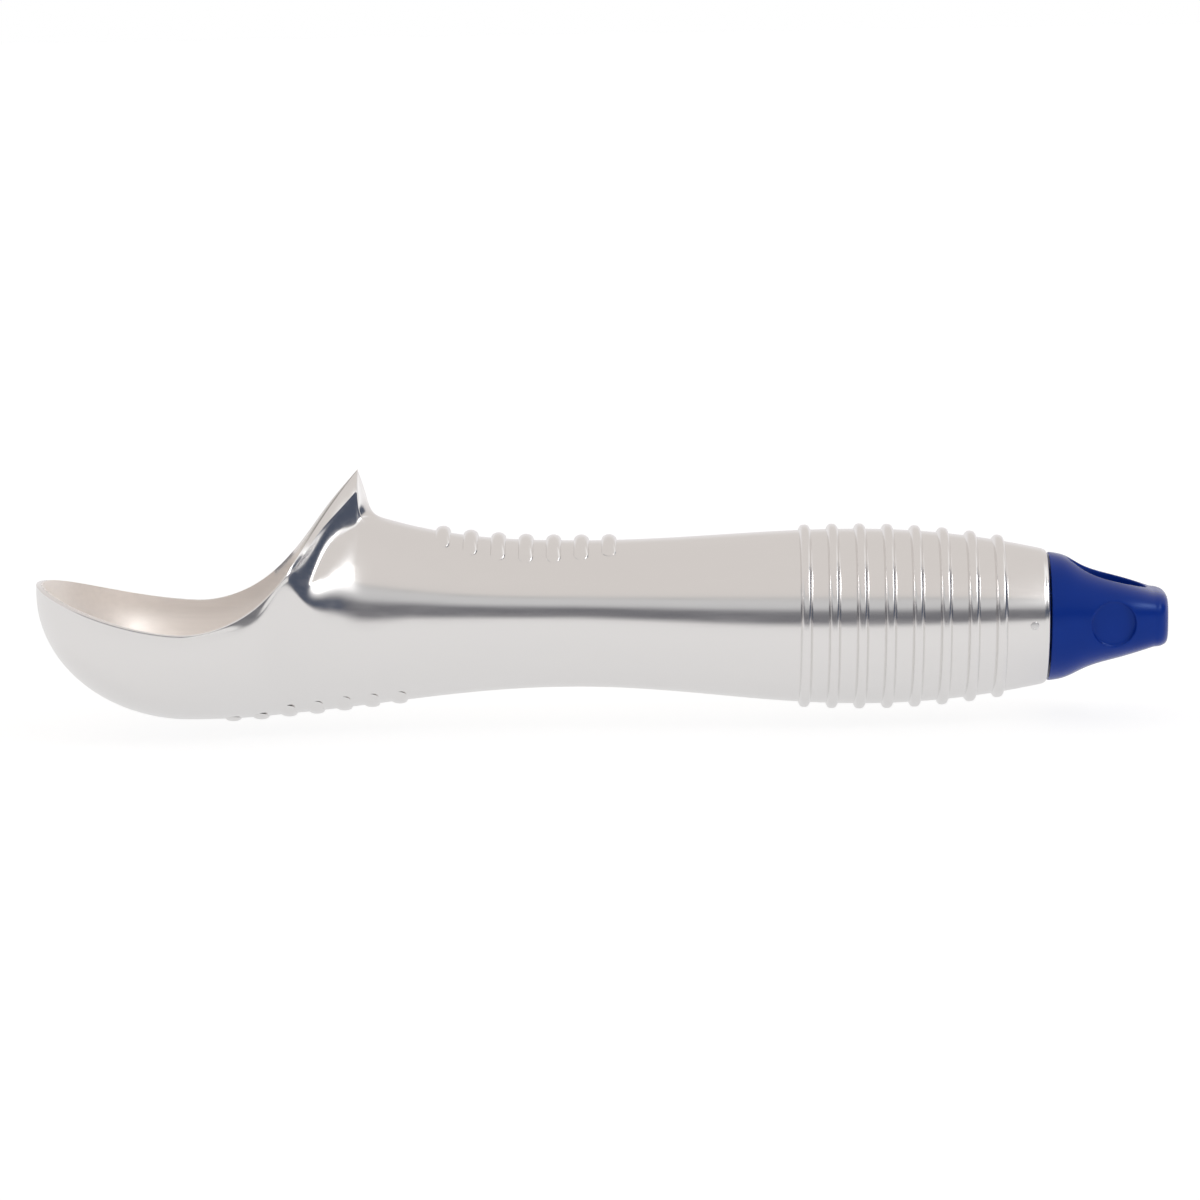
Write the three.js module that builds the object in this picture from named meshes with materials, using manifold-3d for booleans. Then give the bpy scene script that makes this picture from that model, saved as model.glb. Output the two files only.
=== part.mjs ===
// Ice cream scoop: a one-piece cast-aluminium dipper with a liquid-filled handle and a blue end cap.
// Millimetres, +Z up. X runs along the handle from the bowl tip (-X) to the cap (+X).
// Y = 0 is the plane of symmetry. The origin is under the middle of the scoop, on the table it rests on.
import * as THREE from 'three';
import { mergeVertices } from 'three/addons/utils/BufferGeometryUtils.js';
import Module from 'manifold-3d';

// Bowl
const BOWL_LENGTH = 52.4;        // tip to heel crest
const BOWL_NOSE = 25;            // tip to the lowest point of the bowl
const BOWL_WIDTH = 43;
const BOWL_DROP = 16.7;          // handle axis down to the lowest point of the bowl
const BOWL_FLOOR = 2.6;          // metal under the bowl
const RIM_LAND = 1.2;            // width of the rim's edge
const RIM_LIP = 1.5;             // straight lip under the rim
const RIM_DIP = 0.25;            // lowest point of the rim, below the handle axis
const TIP_RISE = 5.5;            // rim at the tip, above the handle axis
const TIP_CURL = 1.65;           // how the rim climbs from its dip to the tip

// Heel
const CREST_RISE = 24;           // heel crest above the handle axis
const CREST_HALF_WIDTH = 0.7;
const HEEL_TAPER = 21.4;         // length over which the rim narrows to the crest
const HEEL_FLOOR_RUN = 15;       // length over which the bowl floor climbs to the crest
const FIN_HALF_WIDTH = 2.1;      // back of the heel
const FIN_FOOT_RISE = 16.4;      // handle top where the back of the heel runs out
const FIN_FOOT = 3.1;            // crest to that place
const NECK_HALF_WIDTH = 14.8;    // under the crest

// Handle
const HANDLE_LENGTH = 112.1;     // crest to the end of the collar
const WAIST_RADIUS = 11.95;
const WAIST_FROM_CREST = 35.9;
const WAIST_LIFT = 0.4;          // waist centre above the handle axis
const BARREL_RADIUS = 14.5;
const BARREL_FROM_COLLAR = 30.3;
const COLLAR_ROUND = 0.5;

// Rings round the barrel
const RING_COUNT = 8;
const RING_PITCH = 4.5;
const RING_WIDTH = 2.3;
const RING_HEIGHT = 0.85;
const LAST_RING_FROM_COLLAR = 7.9;

// Nubs: a row for the thumb on the neck and a row for the finger under the bowl
const NUB_COUNT = 7;
const NUB_PITCH = 4.5;
const NUB_RADIUS = 1;
const THUMB_NUBS_FROM_CREST = 13.9;
const THUMB_NUB_HEIGHT = 0.95;
const THUMB_NUB_SPAN = 7.6;      // half length of the longest nub
const FINGER_NUBS_FROM_TIP = 32.2;
const FINGER_NUB_HEIGHT = 0.5;
const FINGER_NUB_SPAN = 9.2;
const NUB_SPAN_LOSS = 1.4;       // the outer nubs of a row are this much shorter at each end

// Hollow of the handle, front to back: liquid chamber, then a wider seat for the plug and the cap
const HANDLE_WALL = 4.35;        // at the waist
const SEAT_SHOULDER = 0.8;       // step that stops the plug
const COLLAR_WALL = 2.9;
const CHAMBER_FROM_CREST = 10;
const CHAMBER_DOME = 3;
const LIQUID_LEVEL = 4;          // above the handle axis, with the scoop lying down
const FIT_GAP = 0.3;

// Plug and seal ring
const PLUG_LENGTH = 8.4;
const SEAL_RING_WIRE = 0.9;      // radius of the ring's round section

// Cap
const CAP_LENGTH = 19.5;
const CAP_STEP = 0.6;            // the cap is this much smaller than the collar all round
const CAP_SHOULDER_WIDTH = 16.5; // where the tab's round end starts
const CAP_SHOULDER_HEIGHT = 9.2;
const CAP_END_WIDTH = 11;
const CAP_END_HEIGHT = 7.2;
const CAP_ROUND = 2.2;           // length of the tab's round end
const CAP_SQUARENESS = 3.2;      // power of the tab's soft-cornered section, 2 is an ellipse
const CAP_DISC_RADIUS = 3.65;
const CAP_DISC_DEPTH = 0.3;      // at the shallowest part of its edge
const CAP_DISC_FROM_COLLAR = 10.4;
const HANG_HOLE_FROM_COLLAR = 3.3;
const HANG_HOLE_FROM_END = 3.2;
const HANG_HOLE_WIDTH = 9.4;
const SPIGOT_LENGTH = 7.5;       // part of the cap inside the collar
const PIN_RADIUS = 0.7;
const PIN_FROM_COLLAR = 2.6;

// Places along X
const overallLength = BOWL_LENGTH + HANDLE_LENGTH + CAP_LENGTH;
const tipX = -overallLength / 2;
const noseX = tipX + BOWL_NOSE;
const crestX = tipX + BOWL_LENGTH;
const footX = crestX + FIN_FOOT;
const waistX = crestX + WAIST_FROM_CREST;
const collarX = crestX + HANDLE_LENGTH;
const barrelX = collarX - BARREL_FROM_COLLAR;
const capEndX = collarX + CAP_LENGTH;
const seatX = collarX - SPIGOT_LENGTH - PLUG_LENGTH - 2 * FIT_GAP;
const chamberX = crestX + CHAMBER_FROM_CREST;
const pinX = collarX - PIN_FROM_COLLAR;

// Sizes across that follow from the walls
const bowlHalf = BOWL_WIDTH / 2;
const rimInnerHalf = bowlHalf - RIM_LAND;
const chamberRadius = WAIST_RADIUS - WAIST_LIFT - HANDLE_WALL;
const seatRadius = chamberRadius + SEAT_SHOULDER;
const collarRadius = seatRadius + COLLAR_WALL;
const capBaseRadius = collarRadius - CAP_STEP;

const wasm = await Module();
wasm.setup();

// Numbers of points: fine enough to show each form
const LOWER_STEPS = 7;           // bottom to equator
const SHOULDER_STEPS = 3;        // equator to shoulder
const FLANK_STEPS = 2;           // shoulder to fillet, fillet to corner
const INSIDE_STEPS = 5;          // inner rim to the middle
const NOSE_STEPS = 10;           // side of the bowl to its tip
const ROUND_STEPS = 28;
const HEEL_STEPS = 13;
const NECK_STEPS = 8;
const HANDLE_STEPS = 5;          // waist to the first ring
const DOME_STEPS = 4;
const CAP_TAPER_STEPS = 5;
const CAP_END_STEPS = 3;
const NUB_STEPS = 3;             // along a nub; an odd number leaves its middle flat, so the scoop lies still

// Angles from the top of an oval section to the lines that run along the casting
const SHOULDER_ANGLE = THREE.MathUtils.degToRad(48);
const FILLET_ANGLE = THREE.MathUtils.degToRad(31);
const CORNER_ANGLE = THREE.MathUtils.degToRad(16);
const EDGE_ANGLE = THREE.MathUtils.degToRad(8);
const FLAT_ANGLE = THREE.MathUtils.degToRad(5); // from the bottom: flat there, so that the rings lie still

const clamp01 = (value) => THREE.MathUtils.clamp(value, 0, 1);
const mix = THREE.MathUtils.lerp;
const ease = (share) => (1 - Math.cos(Math.PI * clamp01(share))) / 2;

// A smooth function through points [x, value] that never overshoots them
function smoothThrough(points) {
  const last = points.length - 1;
  const rise = [];
  for (let i = 0; i < last; i += 1) {
    rise.push((points[i + 1][1] - points[i][1]) / (points[i + 1][0] - points[i][0]));
  }
  const slope = points.map((point, i) => {
    if (i === 0) return rise[0];
    if (i === last) return rise[last - 1];
    if (rise[i - 1] * rise[i] <= 0) return 0;
    return (2 * rise[i - 1] * rise[i]) / (rise[i - 1] + rise[i]);
  });
  return (x) => {
    let i = 0;
    while (i < last - 1 && x > points[i + 1][0]) i += 1;
    const span = points[i + 1][0] - points[i][0];
    const t = clamp01((x - points[i][0]) / span);
    const start = (1 + 2 * t) * (1 - t) ** 2 * points[i][1] + t * (1 - t) ** 2 * span * slope[i];
    const end = t * t * (3 - 2 * t) * points[i + 1][1] + t * t * (t - 1) * span * slope[i + 1];
    return start + end;
  };
}

// A line that runs along one side of the casting, through points [x, half width, height over the axis]
function rail(points) {
  const halfWidth = smoothThrough(points.map(([x, y]) => [x, y]));
  const height = smoothThrough(points.map(([x, , z]) => [x, z]));
  return (x) => [halfWidth(x), height(x)];
}

// Profile of the bowl and the handle

function bottomHeight(x) {
  return mix(-BOWL_DROP, WAIST_LIFT - WAIST_RADIUS, ease((x - noseX) / (waistX - noseX)));
}

function rimHeightAhead(x) {
  return mix(-RIM_DIP, TIP_RISE, clamp01((noseX - x) / BOWL_NOSE) ** TIP_CURL);
}

const heelShape = smoothThrough([[0, 0], [0.25, 0.06], [0.44, 0.19], [0.6, 0.38], [0.8, 0.71], [1, 1]]);

function rimHeightBehind(x) {
  return mix(-RIM_DIP, CREST_RISE, heelShape((x - noseX) / (crestX - noseX)));
}

function rimInnerWidth(x) {
  const taper = clamp01(1 - (crestX - x) / HEEL_TAPER);
  return mix(rimInnerHalf, CREST_HALF_WIDTH, taper ** 2);
}

function floorHeight(x) {
  const depth = BOWL_DROP - BOWL_FLOOR - RIM_DIP;
  return rimHeightBehind(x) - depth * Math.sin((clamp01((crestX - x) / HEEL_FLOOR_RUN) * Math.PI) / 2);
}

const waistTop = WAIST_LIFT + WAIST_RADIUS;
const NECK_SWEEP = 2.6;          // how the handle top falls from the heel to the waist

function neckTop(x) {
  const share = clamp01((waistX - x) / (waistX - footX));
  return waistTop + (FIN_FOOT_RISE - waistTop) * share ** NECK_SWEEP;
}

const finTop = smoothThrough([
  [crestX, CREST_RISE],
  [crestX + 0.3 * FIN_FOOT, mix(FIN_FOOT_RISE, CREST_RISE, 0.42)],
  [crestX + 0.55 * FIN_FOOT, mix(FIN_FOOT_RISE, CREST_RISE, 0.12)],
  [footX, FIN_FOOT_RISE],
]);

const topHeight = (x) => (x < footX ? finTop(x) : neckTop(x));

// Places and sizes along the heel and the neck, as shares between the sizes above
const alongHeel = (share) => mix(noseX, crestX, share);
const alongFin = (share) => mix(crestX, footX, share);
const alongNeck = (share) => mix(crestX, waistX, share);
const towardsNeck = (share) => mix(bowlHalf, NECK_HALF_WIDTH, share);
const towardsFin = (share) => mix(NECK_HALF_WIDTH, FIN_HALF_WIDTH, share);
const ofFoot = (share) => FIN_FOOT_RISE * share;
const underRim = (share, lands) => rimHeightBehind(alongHeel(share)) - lands * RIM_LAND;
const underFin = (share, lands) => finTop(alongFin(share)) - lands * RIM_LAND;

const FLARE = 0.255;             // share of the heel where the lip under the rim starts to open out
const flareRim = rimHeightBehind(alongHeel(FLARE));

const equator = rail([
  [noseX, bowlHalf, -RIM_DIP - RIM_LIP],
  [alongHeel(FLARE), towardsNeck(0.03), flareRim - 1.3 * RIM_LIP],
  [alongHeel(0.49), towardsNeck(0.18), ofFoot(0.073)],
  [alongHeel(0.766), towardsNeck(0.7), ofFoot(0.134)],
  [crestX, NECK_HALF_WIDTH, ofFoot(0.104)],
  [alongNeck(0.28), mix(WAIST_RADIUS, NECK_HALF_WIDTH, 0.45), ofFoot(0.055)],
  [waistX, WAIST_RADIUS, WAIST_LIFT],
]);

// A point of the oval neck at an angle from its top
function ovalPoint(x, angle) {
  const [halfWidth, height] = equator(x);
  return [x, halfWidth * Math.sin(angle), height + (topHeight(x) - height) * Math.cos(angle)];
}

const ovalRail = (angle) => [0.17, 0.335, 0.615, 1].map((share) => ovalPoint(alongNeck(share), angle));

const shoulder = rail([
  [noseX, bowlHalf, -RIM_DIP - 0.7 * RIM_LIP],
  [alongHeel(FLARE), towardsNeck(0.03), flareRim - 0.8 * RIM_LIP],
  [alongHeel(0.49), towardsNeck(0.194), ofFoot(0.171)],
  [alongHeel(0.62), towardsNeck(0.522), ofFoot(0.329)],
  [alongHeel(0.766), towardsFin(0.016), ofFoot(0.463)],
  [crestX, towardsFin(0.283), ofFoot(0.604)],
  ...ovalRail(SHOULDER_ANGLE),
]);

const fillet = rail([
  [noseX, bowlHalf, -RIM_DIP - 0.4 * RIM_LIP],
  [alongHeel(FLARE), towardsNeck(0.03), flareRim - 0.4 * RIM_LIP],
  [alongHeel(0.49), towardsNeck(0.194), ofFoot(0.256)],
  [alongHeel(0.62), towardsNeck(0.627), ofFoot(0.463)],
  [alongHeel(0.766), towardsFin(0.236), ofFoot(0.671)],
  [alongHeel(0.927), towardsFin(0.717), ofFoot(0.915)],
  [crestX, towardsFin(0.89), ofFoot(1)],
  [alongFin(0.45), towardsFin(0.858), ofFoot(0.963)],
  ...ovalRail(FILLET_ANGLE),
]);

const corner = rail([
  [noseX, bowlHalf, -RIM_DIP],
  [alongHeel(FLARE), towardsNeck(0.03), flareRim],
  [alongHeel(0.49), towardsNeck(0.12), underRim(0.49, 0.08)],
  [alongHeel(0.62), towardsNeck(0.49), underRim(0.62, 0.67)],
  [alongHeel(0.766), towardsFin(0.118), underRim(0.766, 1.17)],
  [alongHeel(0.927), towardsFin(0.717), underRim(0.927, 1.5)],
  [crestX, FIN_HALF_WIDTH, CREST_RISE - RIM_LAND],
  [alongFin(0.3), 0.95 * FIN_HALF_WIDTH, underFin(0.3, 0.75)],
  [alongFin(0.55), 1.05 * FIN_HALF_WIDTH, underFin(0.55, 0.42)],
  [footX, 1.38 * FIN_HALF_WIDTH, underFin(1, 0.25)],
  ...ovalRail(CORNER_ANGLE),
]);

const edge = (x) => {
  if (x <= crestX) return [rimInnerWidth(x), rimHeightBehind(x)];
  const [halfWidth, height] = corner(x);
  return [halfWidth / 2, mix(height, topHeight(x), Math.sin(Math.PI / 3))];
};

// Half sections run from the bottom of the casting round its side to the middle of its top

function lowerArc(place) {
  const share = (i) => i / (LOWER_STEPS - 1);
  const arc = Array.from({ length: LOWER_STEPS }, (_, i) => place(mix(FLAT_ANGLE, Math.PI / 2, share(i))));
  return [new THREE.Vector3(arc[0].x, 0, arc[0].z), ...arc];
}

function insideArc(place) {
  return Array.from({ length: INSIDE_STEPS }, (_, i) => place(((i + 1) / INSIDE_STEPS) * (Math.PI / 2)));
}

// Section across the casting between the bowl's lowest point and the waist
function halfSection(x) {
  const [sideWidth, sideHeight] = equator(x);
  const bottom = bottomHeight(x);
  const lower = lowerArc((angle) => new THREE.Vector3(
    x, sideWidth * Math.sin(angle), mix(sideHeight, bottom, Math.cos(angle))));
  const lines = [equator, shoulder, fillet, corner].map((line) => new THREE.Vector3(x, ...line(x)));
  const side = new THREE.CatmullRomCurve3([lower[LOWER_STEPS - 1], ...lines]);
  const stops = [];
  for (let i = 1; i <= SHOULDER_STEPS; i += 1) {
    stops.push(1 + i / SHOULDER_STEPS);
  }
  for (let i = 1; i <= 2 * FLANK_STEPS; i += 1) {
    stops.push(2 + i / FLANK_STEPS);
  }
  const upper = stops.map((stop) => side.getPoint(stop / lines.length));
  const [edgeWidth, edgeHeight] = edge(x);
  const middle = x < crestX ? floorHeight(x) : topHeight(x);
  const inside = insideArc((angle) => new THREE.Vector3(
    x, edgeWidth * Math.cos(angle), mix(edgeHeight, middle, Math.sin(angle))));
  return [...lower, ...upper, new THREE.Vector3(x, edgeWidth, edgeHeight), ...inside];
}

// Round section of the handle behind the waist
function roundHalfSection(x, radius, lift) {
  const at = (angle) => new THREE.Vector3(x, radius * Math.sin(angle), lift + radius * Math.cos(angle));
  const lower = lowerArc((angle) => at(Math.PI - angle));
  const angles = [];
  for (let i = 1; i <= SHOULDER_STEPS; i += 1) {
    angles.push(mix(Math.PI / 2, SHOULDER_ANGLE, i / SHOULDER_STEPS));
  }
  for (let i = 1; i <= FLANK_STEPS; i += 1) {
    angles.push(mix(SHOULDER_ANGLE, FILLET_ANGLE, i / FLANK_STEPS));
  }
  for (let i = 1; i <= FLANK_STEPS; i += 1) {
    angles.push(mix(FILLET_ANGLE, CORNER_ANGLE, i / FLANK_STEPS));
  }
  const inside = insideArc((angle) => at(EDGE_ANGLE * Math.cos(angle)));
  return [...lower, ...angles.map(at), at(EDGE_ANGLE), ...inside];
}

// Section of the bowl's front: the section at the lowest point, turned round it from the side to the tip
function noseHalfSection(turn) {
  const forward = Math.sin(turn);
  const sideways = Math.cos(turn);
  const climb = rimHeightAhead(noseX - BOWL_NOSE * forward) + RIM_DIP;
  const side = halfSection(noseX);
  const lipFoot = side[LOWER_STEPS].z;
  const insideStart = side.length - INSIDE_STEPS - 1;
  return side.map((point, i) => {
    const isInside = i >= insideStart;
    const reach = isInside ? BOWL_NOSE - RIM_LAND : BOWL_NOSE;
    const halfWidth = isInside ? rimInnerHalf : bowlHalf;
    const low = isInside ? floorHeight(noseX) : bottomHeight(noseX);
    const high = isInside ? -RIM_DIP : lipFoot;
    const share = point.y / halfWidth;
    const rise = climb * clamp01((point.z - low) / (high - low));
    return new THREE.Vector3(noseX - reach * share * forward, halfWidth * share * sideways, point.z + rise);
  });
}

// Places of the sections along the handle, with the rings' rounded tops

function handleRadius(x) {
  if (x < barrelX) return mix(WAIST_RADIUS, BARREL_RADIUS, ease((x - waistX) / (barrelX - waistX)));
  return mix(BARREL_RADIUS, collarRadius, ((x - barrelX) / (collarX - barrelX)) ** 2);
}

const handleLift = (x) => mix(WAIST_LIFT, 0, ease((x - waistX) / (barrelX - waistX)));

function handleSections() {
  const sections = [];
  const add = (x, extra) => sections.push(roundHalfSection(x, handleRadius(x) + extra, handleLift(x)));
  const firstRingX = collarX - LAST_RING_FROM_COLLAR - (RING_COUNT - 1) * RING_PITCH;
  for (let i = 1; i < HANDLE_STEPS; i += 1) {
    add(mix(waistX, firstRingX - RING_WIDTH, i / HANDLE_STEPS), 0);
  }
  for (let ring = 0; ring < RING_COUNT; ring += 1) {
    const middle = firstRingX + ring * RING_PITCH;
    for (const share of [-1, -0.5, 0, 0.5, 1]) {
      add(middle + (share * RING_WIDTH) / 2, RING_HEIGHT * (1 - ease(Math.abs(share))));
    }
  }
  add(mix(collarX - LAST_RING_FROM_COLLAR, collarX, 0.6), 0);
  add(collarX - COLLAR_ROUND, 0);
  add(collarX, -COLLAR_ROUND);
  return sections;
}

// Solids

const mirrored = (point) => new THREE.Vector3(point.x, -point.y, point.z);

function closedRing(half) {
  const middle = half.slice(1, -1);
  return [...half, ...middle.reverse().map(mirrored)];
}

function geometryFrom(points, faces) {
  const geometry = new THREE.BufferGeometry().setFromPoints(points);
  geometry.setIndex(faces.flat());
  return geometry;
}

// Rings of equal size joined one after the other, each end closed by a fan
function loft(rings, closeStart) {
  const count = rings[0].length;
  const points = rings.flat();
  const faces = [];
  for (let r = 0; r + 1 < rings.length; r += 1) {
    for (let i = 0; i < count; i += 1) {
      const next = (i + 1) % count;
      const [a, b, c, d] = [r * count + i, r * count + next, (r + 1) * count + i, (r + 1) * count + next];
      faces.push([a, b, c], [b, d, c]);
    }
  }
  const centre = (ring) => ring.reduce((sum, p) => sum.add(p), new THREE.Vector3()).divideScalar(count);
  const lastStart = (rings.length - 1) * count;
  for (let i = 0; i < count; i += 1) {
    const next = (i + 1) % count;
    if (closeStart) faces.push([points.length, next, i]);
    faces.push([points.length + (closeStart ? 1 : 0), lastStart + i, lastStart + next]);
  }
  if (closeStart) points.push(centre(rings[0]));
  points.push(centre(rings[rings.length - 1]));
  return { points, faces };
}

function solidFrom(geometry) {
  const bare = geometry.clone();
  bare.deleteAttribute('normal');
  bare.deleteAttribute('uv');
  const merged = mergeVertices(bare, 1e-4);
  const index = merged.index.array;
  const triangles = [];
  for (let i = 0; i < index.length; i += 3) {
    const [a, b, c] = [index[i], index[i + 1], index[i + 2]];
    if (a !== b && b !== c && c !== a) triangles.push(a, b, c);
  }
  return new wasm.Manifold(new wasm.Mesh({
    numProp: 3,
    vertProperties: new Float32Array(merged.attributes.position.array),
    triVerts: new Uint32Array(triangles),
  }));
}

function geometryOf(solid) {
  const mesh = solid.getMesh();
  const geometry = new THREE.BufferGeometry();
  geometry.setAttribute('position', new THREE.BufferAttribute(mesh.vertProperties, 3));
  geometry.setIndex(new THREE.BufferAttribute(mesh.triVerts, 1));
  geometry.computeVertexNormals();
  return geometry;
}

// A turned solid round the handle axis; the profile is a list of [x, radius]
function turned(profile) {
  const points = profile.map(([x, radius]) => new THREE.Vector2(radius, x));
  return solidFrom(new THREE.LatheGeometry(points, ROUND_STEPS).rotateZ(-Math.PI / 2));
}

function rodAlong(startX, endX, radius) {
  return turned([[startX, 0], [startX, radius], [endX, radius], [endX, 0]]);
}

// Casting

function castingBody() {
  const stations = [0.15, 0.3, 0.42, 0.55, 0.75, 1].map(alongFin);
  for (let i = HEEL_STEPS; i >= 0; i -= 1) {
    stations.unshift(alongHeel(Math.sin((i / HEEL_STEPS) * (Math.PI / 2))));
  }
  for (let i = 1; i < NECK_STEPS; i += 1) {
    stations.push(mix(footX, waistX, i / NECK_STEPS));
  }
  const halves = stations.map(halfSection);
  halves.push(roundHalfSection(waistX, WAIST_RADIUS, WAIST_LIFT), ...handleSections());
  const { points, faces } = loft(halves.map(closedRing), false);
  addNose(points, faces);
  return solidFrom(geometryFrom(points, faces));
}

// The front of the bowl: half sections turned from one side round the tip to the other
function addNose(points, faces) {
  const turns = Array.from({ length: 2 * NOSE_STEPS + 1 }, (_, i) => (i / NOSE_STEPS) * (Math.PI / 2));
  const sections = turns.map((turn) => noseHalfSection(turn));
  const start = points.length;
  const count = sections[0].length;
  points.push(...sections.flat());
  for (let s = 0; s + 1 < sections.length; s += 1) {
    for (let i = 0; i + 1 < count; i += 1) {
      const [a, b] = [start + s * count + i, start + s * count + i + 1];
      faces.push([a, a + count, b], [b, a + count, b + count]);
    }
  }
}

// A round-ended bar laid across an oval of the casting, on its top or its bottom
function nub(x, halfSpan, oval, rise) {
  const { halfWidth, centre, crown } = oval;
  const outward = Math.sign(crown - centre);
  const capsule = new THREE.CapsuleGeometry(NUB_RADIUS, 2 * (halfSpan - NUB_RADIUS), 2, 8, NUB_STEPS);
  const position = capsule.attributes.position;
  for (let i = 0; i < position.count; i += 1) {
    const across = position.getY(i) / halfWidth;
    const up = Math.sqrt(clamp01(1 - across ** 2));
    const normal = new THREE.Vector2(across / halfWidth, up / (crown - centre)).normalize();
    const height = position.getZ(i) + rise - NUB_RADIUS;
    position.setXYZ(i, x + position.getX(i) * outward,
      across * halfWidth + normal.x * height, centre + (crown - centre) * up + normal.y * height);
  }
  return solidFrom(capsule);
}

function nubSpan(longest, i) {
  const fromMiddle = (2 * i) / (NUB_COUNT - 1) - 1;
  return longest - NUB_SPAN_LOSS * fromMiddle ** 2;
}

// The oval of the casting's upper side
function upperOval(x) {
  if (x > waistX) {
    return { halfWidth: handleRadius(x), centre: handleLift(x), crown: handleLift(x) + handleRadius(x) };
  }
  const [halfWidth, centre] = equator(x);
  return { halfWidth, centre, crown: topHeight(x) };
}

function lowerOval(x) {
  const [halfWidth, centre] = equator(x);
  return { halfWidth, centre, crown: bottomHeight(x) };
}

function nubs() {
  const list = [];
  for (let i = 0; i < NUB_COUNT; i += 1) {
    const thumbX = crestX + THUMB_NUBS_FROM_CREST + i * NUB_PITCH;
    list.push(nub(thumbX, nubSpan(THUMB_NUB_SPAN, i), upperOval(thumbX), THUMB_NUB_HEIGHT));
    const fingerX = tipX + FINGER_NUBS_FROM_TIP + i * NUB_PITCH;
    list.push(nub(fingerX, nubSpan(FINGER_NUB_SPAN, i), lowerOval(fingerX), FINGER_NUB_HEIGHT));
  }
  return list;
}

// The liquid chamber, smaller all round by the gap
function chamber(gap) {
  const radius = chamberRadius - gap;
  const front = chamberX + gap;
  const dome = Array.from({ length: DOME_STEPS + 1 }, (_, i) => {
    const angle = (i / DOME_STEPS) * (Math.PI / 2);
    return [front + CHAMBER_DOME * (1 - Math.cos(angle)), radius * Math.sin(angle)];
  });
  return turned([...dome, [seatX - gap, radius], [seatX - gap, 0]]);
}

const BEYOND = 1;                // cuts run this far past the faces they open

function pinRod(radius, reach) {
  const rod = new THREE.CylinderGeometry(radius, radius, 2 * reach, 16);
  return solidFrom(rod.translate(pinX, 0, 0));
}

function scoopCasting() {
  let solid = nubs().reduce((body, bar) => body.add(bar), castingBody());
  const seat = rodAlong(seatX, collarX + BEYOND, seatRadius);
  const throat = rodAlong(seatX - BEYOND, seatX + BEYOND, chamberRadius);
  solid = solid.subtract(chamber(0)).subtract(throat).subtract(seat);
  return solid.subtract(pinRod(PIN_RADIUS + FIT_GAP, BARREL_RADIUS));
}

// Inside the handle

function heatFluid() {
  const length = collarX - crestX;
  const air = new THREE.BoxGeometry(length, BARREL_RADIUS * 2, BARREL_RADIUS);
  air.translate((collarX + crestX) / 2, 0, LIQUID_LEVEL + BARREL_RADIUS / 2);
  return chamber(FIT_GAP).subtract(solidFrom(air));
}

const plugRadius = seatRadius - FIT_GAP;
const plugFrontX = seatX + FIT_GAP;
const plugBackX = plugFrontX + PLUG_LENGTH;
const sealRingRadius = plugRadius - SEAL_RING_WIRE;
const sealX = (plugFrontX + plugBackX) / 2;

function sealPlug() {
  const grooveRadius = sealRingRadius - SEAL_RING_WIRE - FIT_GAP;
  const grooveHalf = SEAL_RING_WIRE + FIT_GAP;
  return turned([
    [plugFrontX, 0], [plugFrontX, plugRadius],
    [sealX - grooveHalf, plugRadius], [sealX - grooveHalf, grooveRadius],
    [sealX + grooveHalf, grooveRadius], [sealX + grooveHalf, plugRadius],
    [plugBackX, plugRadius], [plugBackX, 0],
  ]);
}

function sealRing() {
  const ring = new THREE.TorusGeometry(sealRingRadius, SEAL_RING_WIRE, 10, ROUND_STEPS);
  return solidFrom(ring.rotateY(Math.PI / 2).translate(sealX, 0, 0));
}

// Cap

const capBaseX = collarX + FIT_GAP;
const capRoundX = capEndX - CAP_ROUND;
const capShare = (x) => clamp01((x - capBaseX) / (capRoundX - capBaseX));
const capHalfWidth = (x) => mix(capBaseRadius, CAP_SHOULDER_WIDTH / 2, capShare(x) ** 3);
const capHalfHeight = (x) => mix(capBaseRadius, CAP_SHOULDER_HEIGHT / 2, capShare(x));
const capPower = (x) => mix(2, CAP_SQUARENESS, capShare(x));

function capSection(x, halfWidth, halfHeight) {
  const soft = (value) => Math.sign(value) * Math.abs(value) ** (2 / capPower(x));
  return Array.from({ length: ROUND_STEPS }, (_, i) => {
    const angle = (i / ROUND_STEPS) * 2 * Math.PI;
    return new THREE.Vector3(x, halfWidth * soft(Math.sin(angle)), -halfHeight * soft(Math.cos(angle)));
  });
}

function capTab() {
  const rings = [];
  for (let i = 0; i <= CAP_TAPER_STEPS; i += 1) {
    const x = mix(capBaseX, capRoundX, i / CAP_TAPER_STEPS);
    rings.push(capSection(x, capHalfWidth(x), capHalfHeight(x)));
  }
  for (let i = 1; i <= CAP_END_STEPS; i += 1) {
    const angle = (i / CAP_END_STEPS) * (Math.PI / 2);
    const width = mix(CAP_SHOULDER_WIDTH, CAP_END_WIDTH, 1 - Math.cos(angle));
    const height = mix(CAP_SHOULDER_HEIGHT, CAP_END_HEIGHT, 1 - Math.cos(angle));
    rings.push(capSection(capRoundX + CAP_ROUND * Math.sin(angle), width / 2, height / 2));
  }
  const { points, faces } = loft(rings, true);
  return solidFrom(geometryFrom(points, faces));
}

function hangHole() {
  const startX = collarX + HANG_HOLE_FROM_COLLAR;
  const endX = capEndX - HANG_HOLE_FROM_END;
  const outline = new THREE.Shape();
  outline.absellipse((startX + endX) / 2, 0, (endX - startX) / 2, HANG_HOLE_WIDTH / 2, 0, 2 * Math.PI);
  const depth = 2 * (capBaseRadius + BEYOND);
  const settings = { depth, bevelEnabled: false, curveSegments: ROUND_STEPS / 2 };
  const hole = new THREE.ExtrudeGeometry(outline, settings);
  return solidFrom(hole.translate(0, 0, -depth / 2));
}

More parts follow.
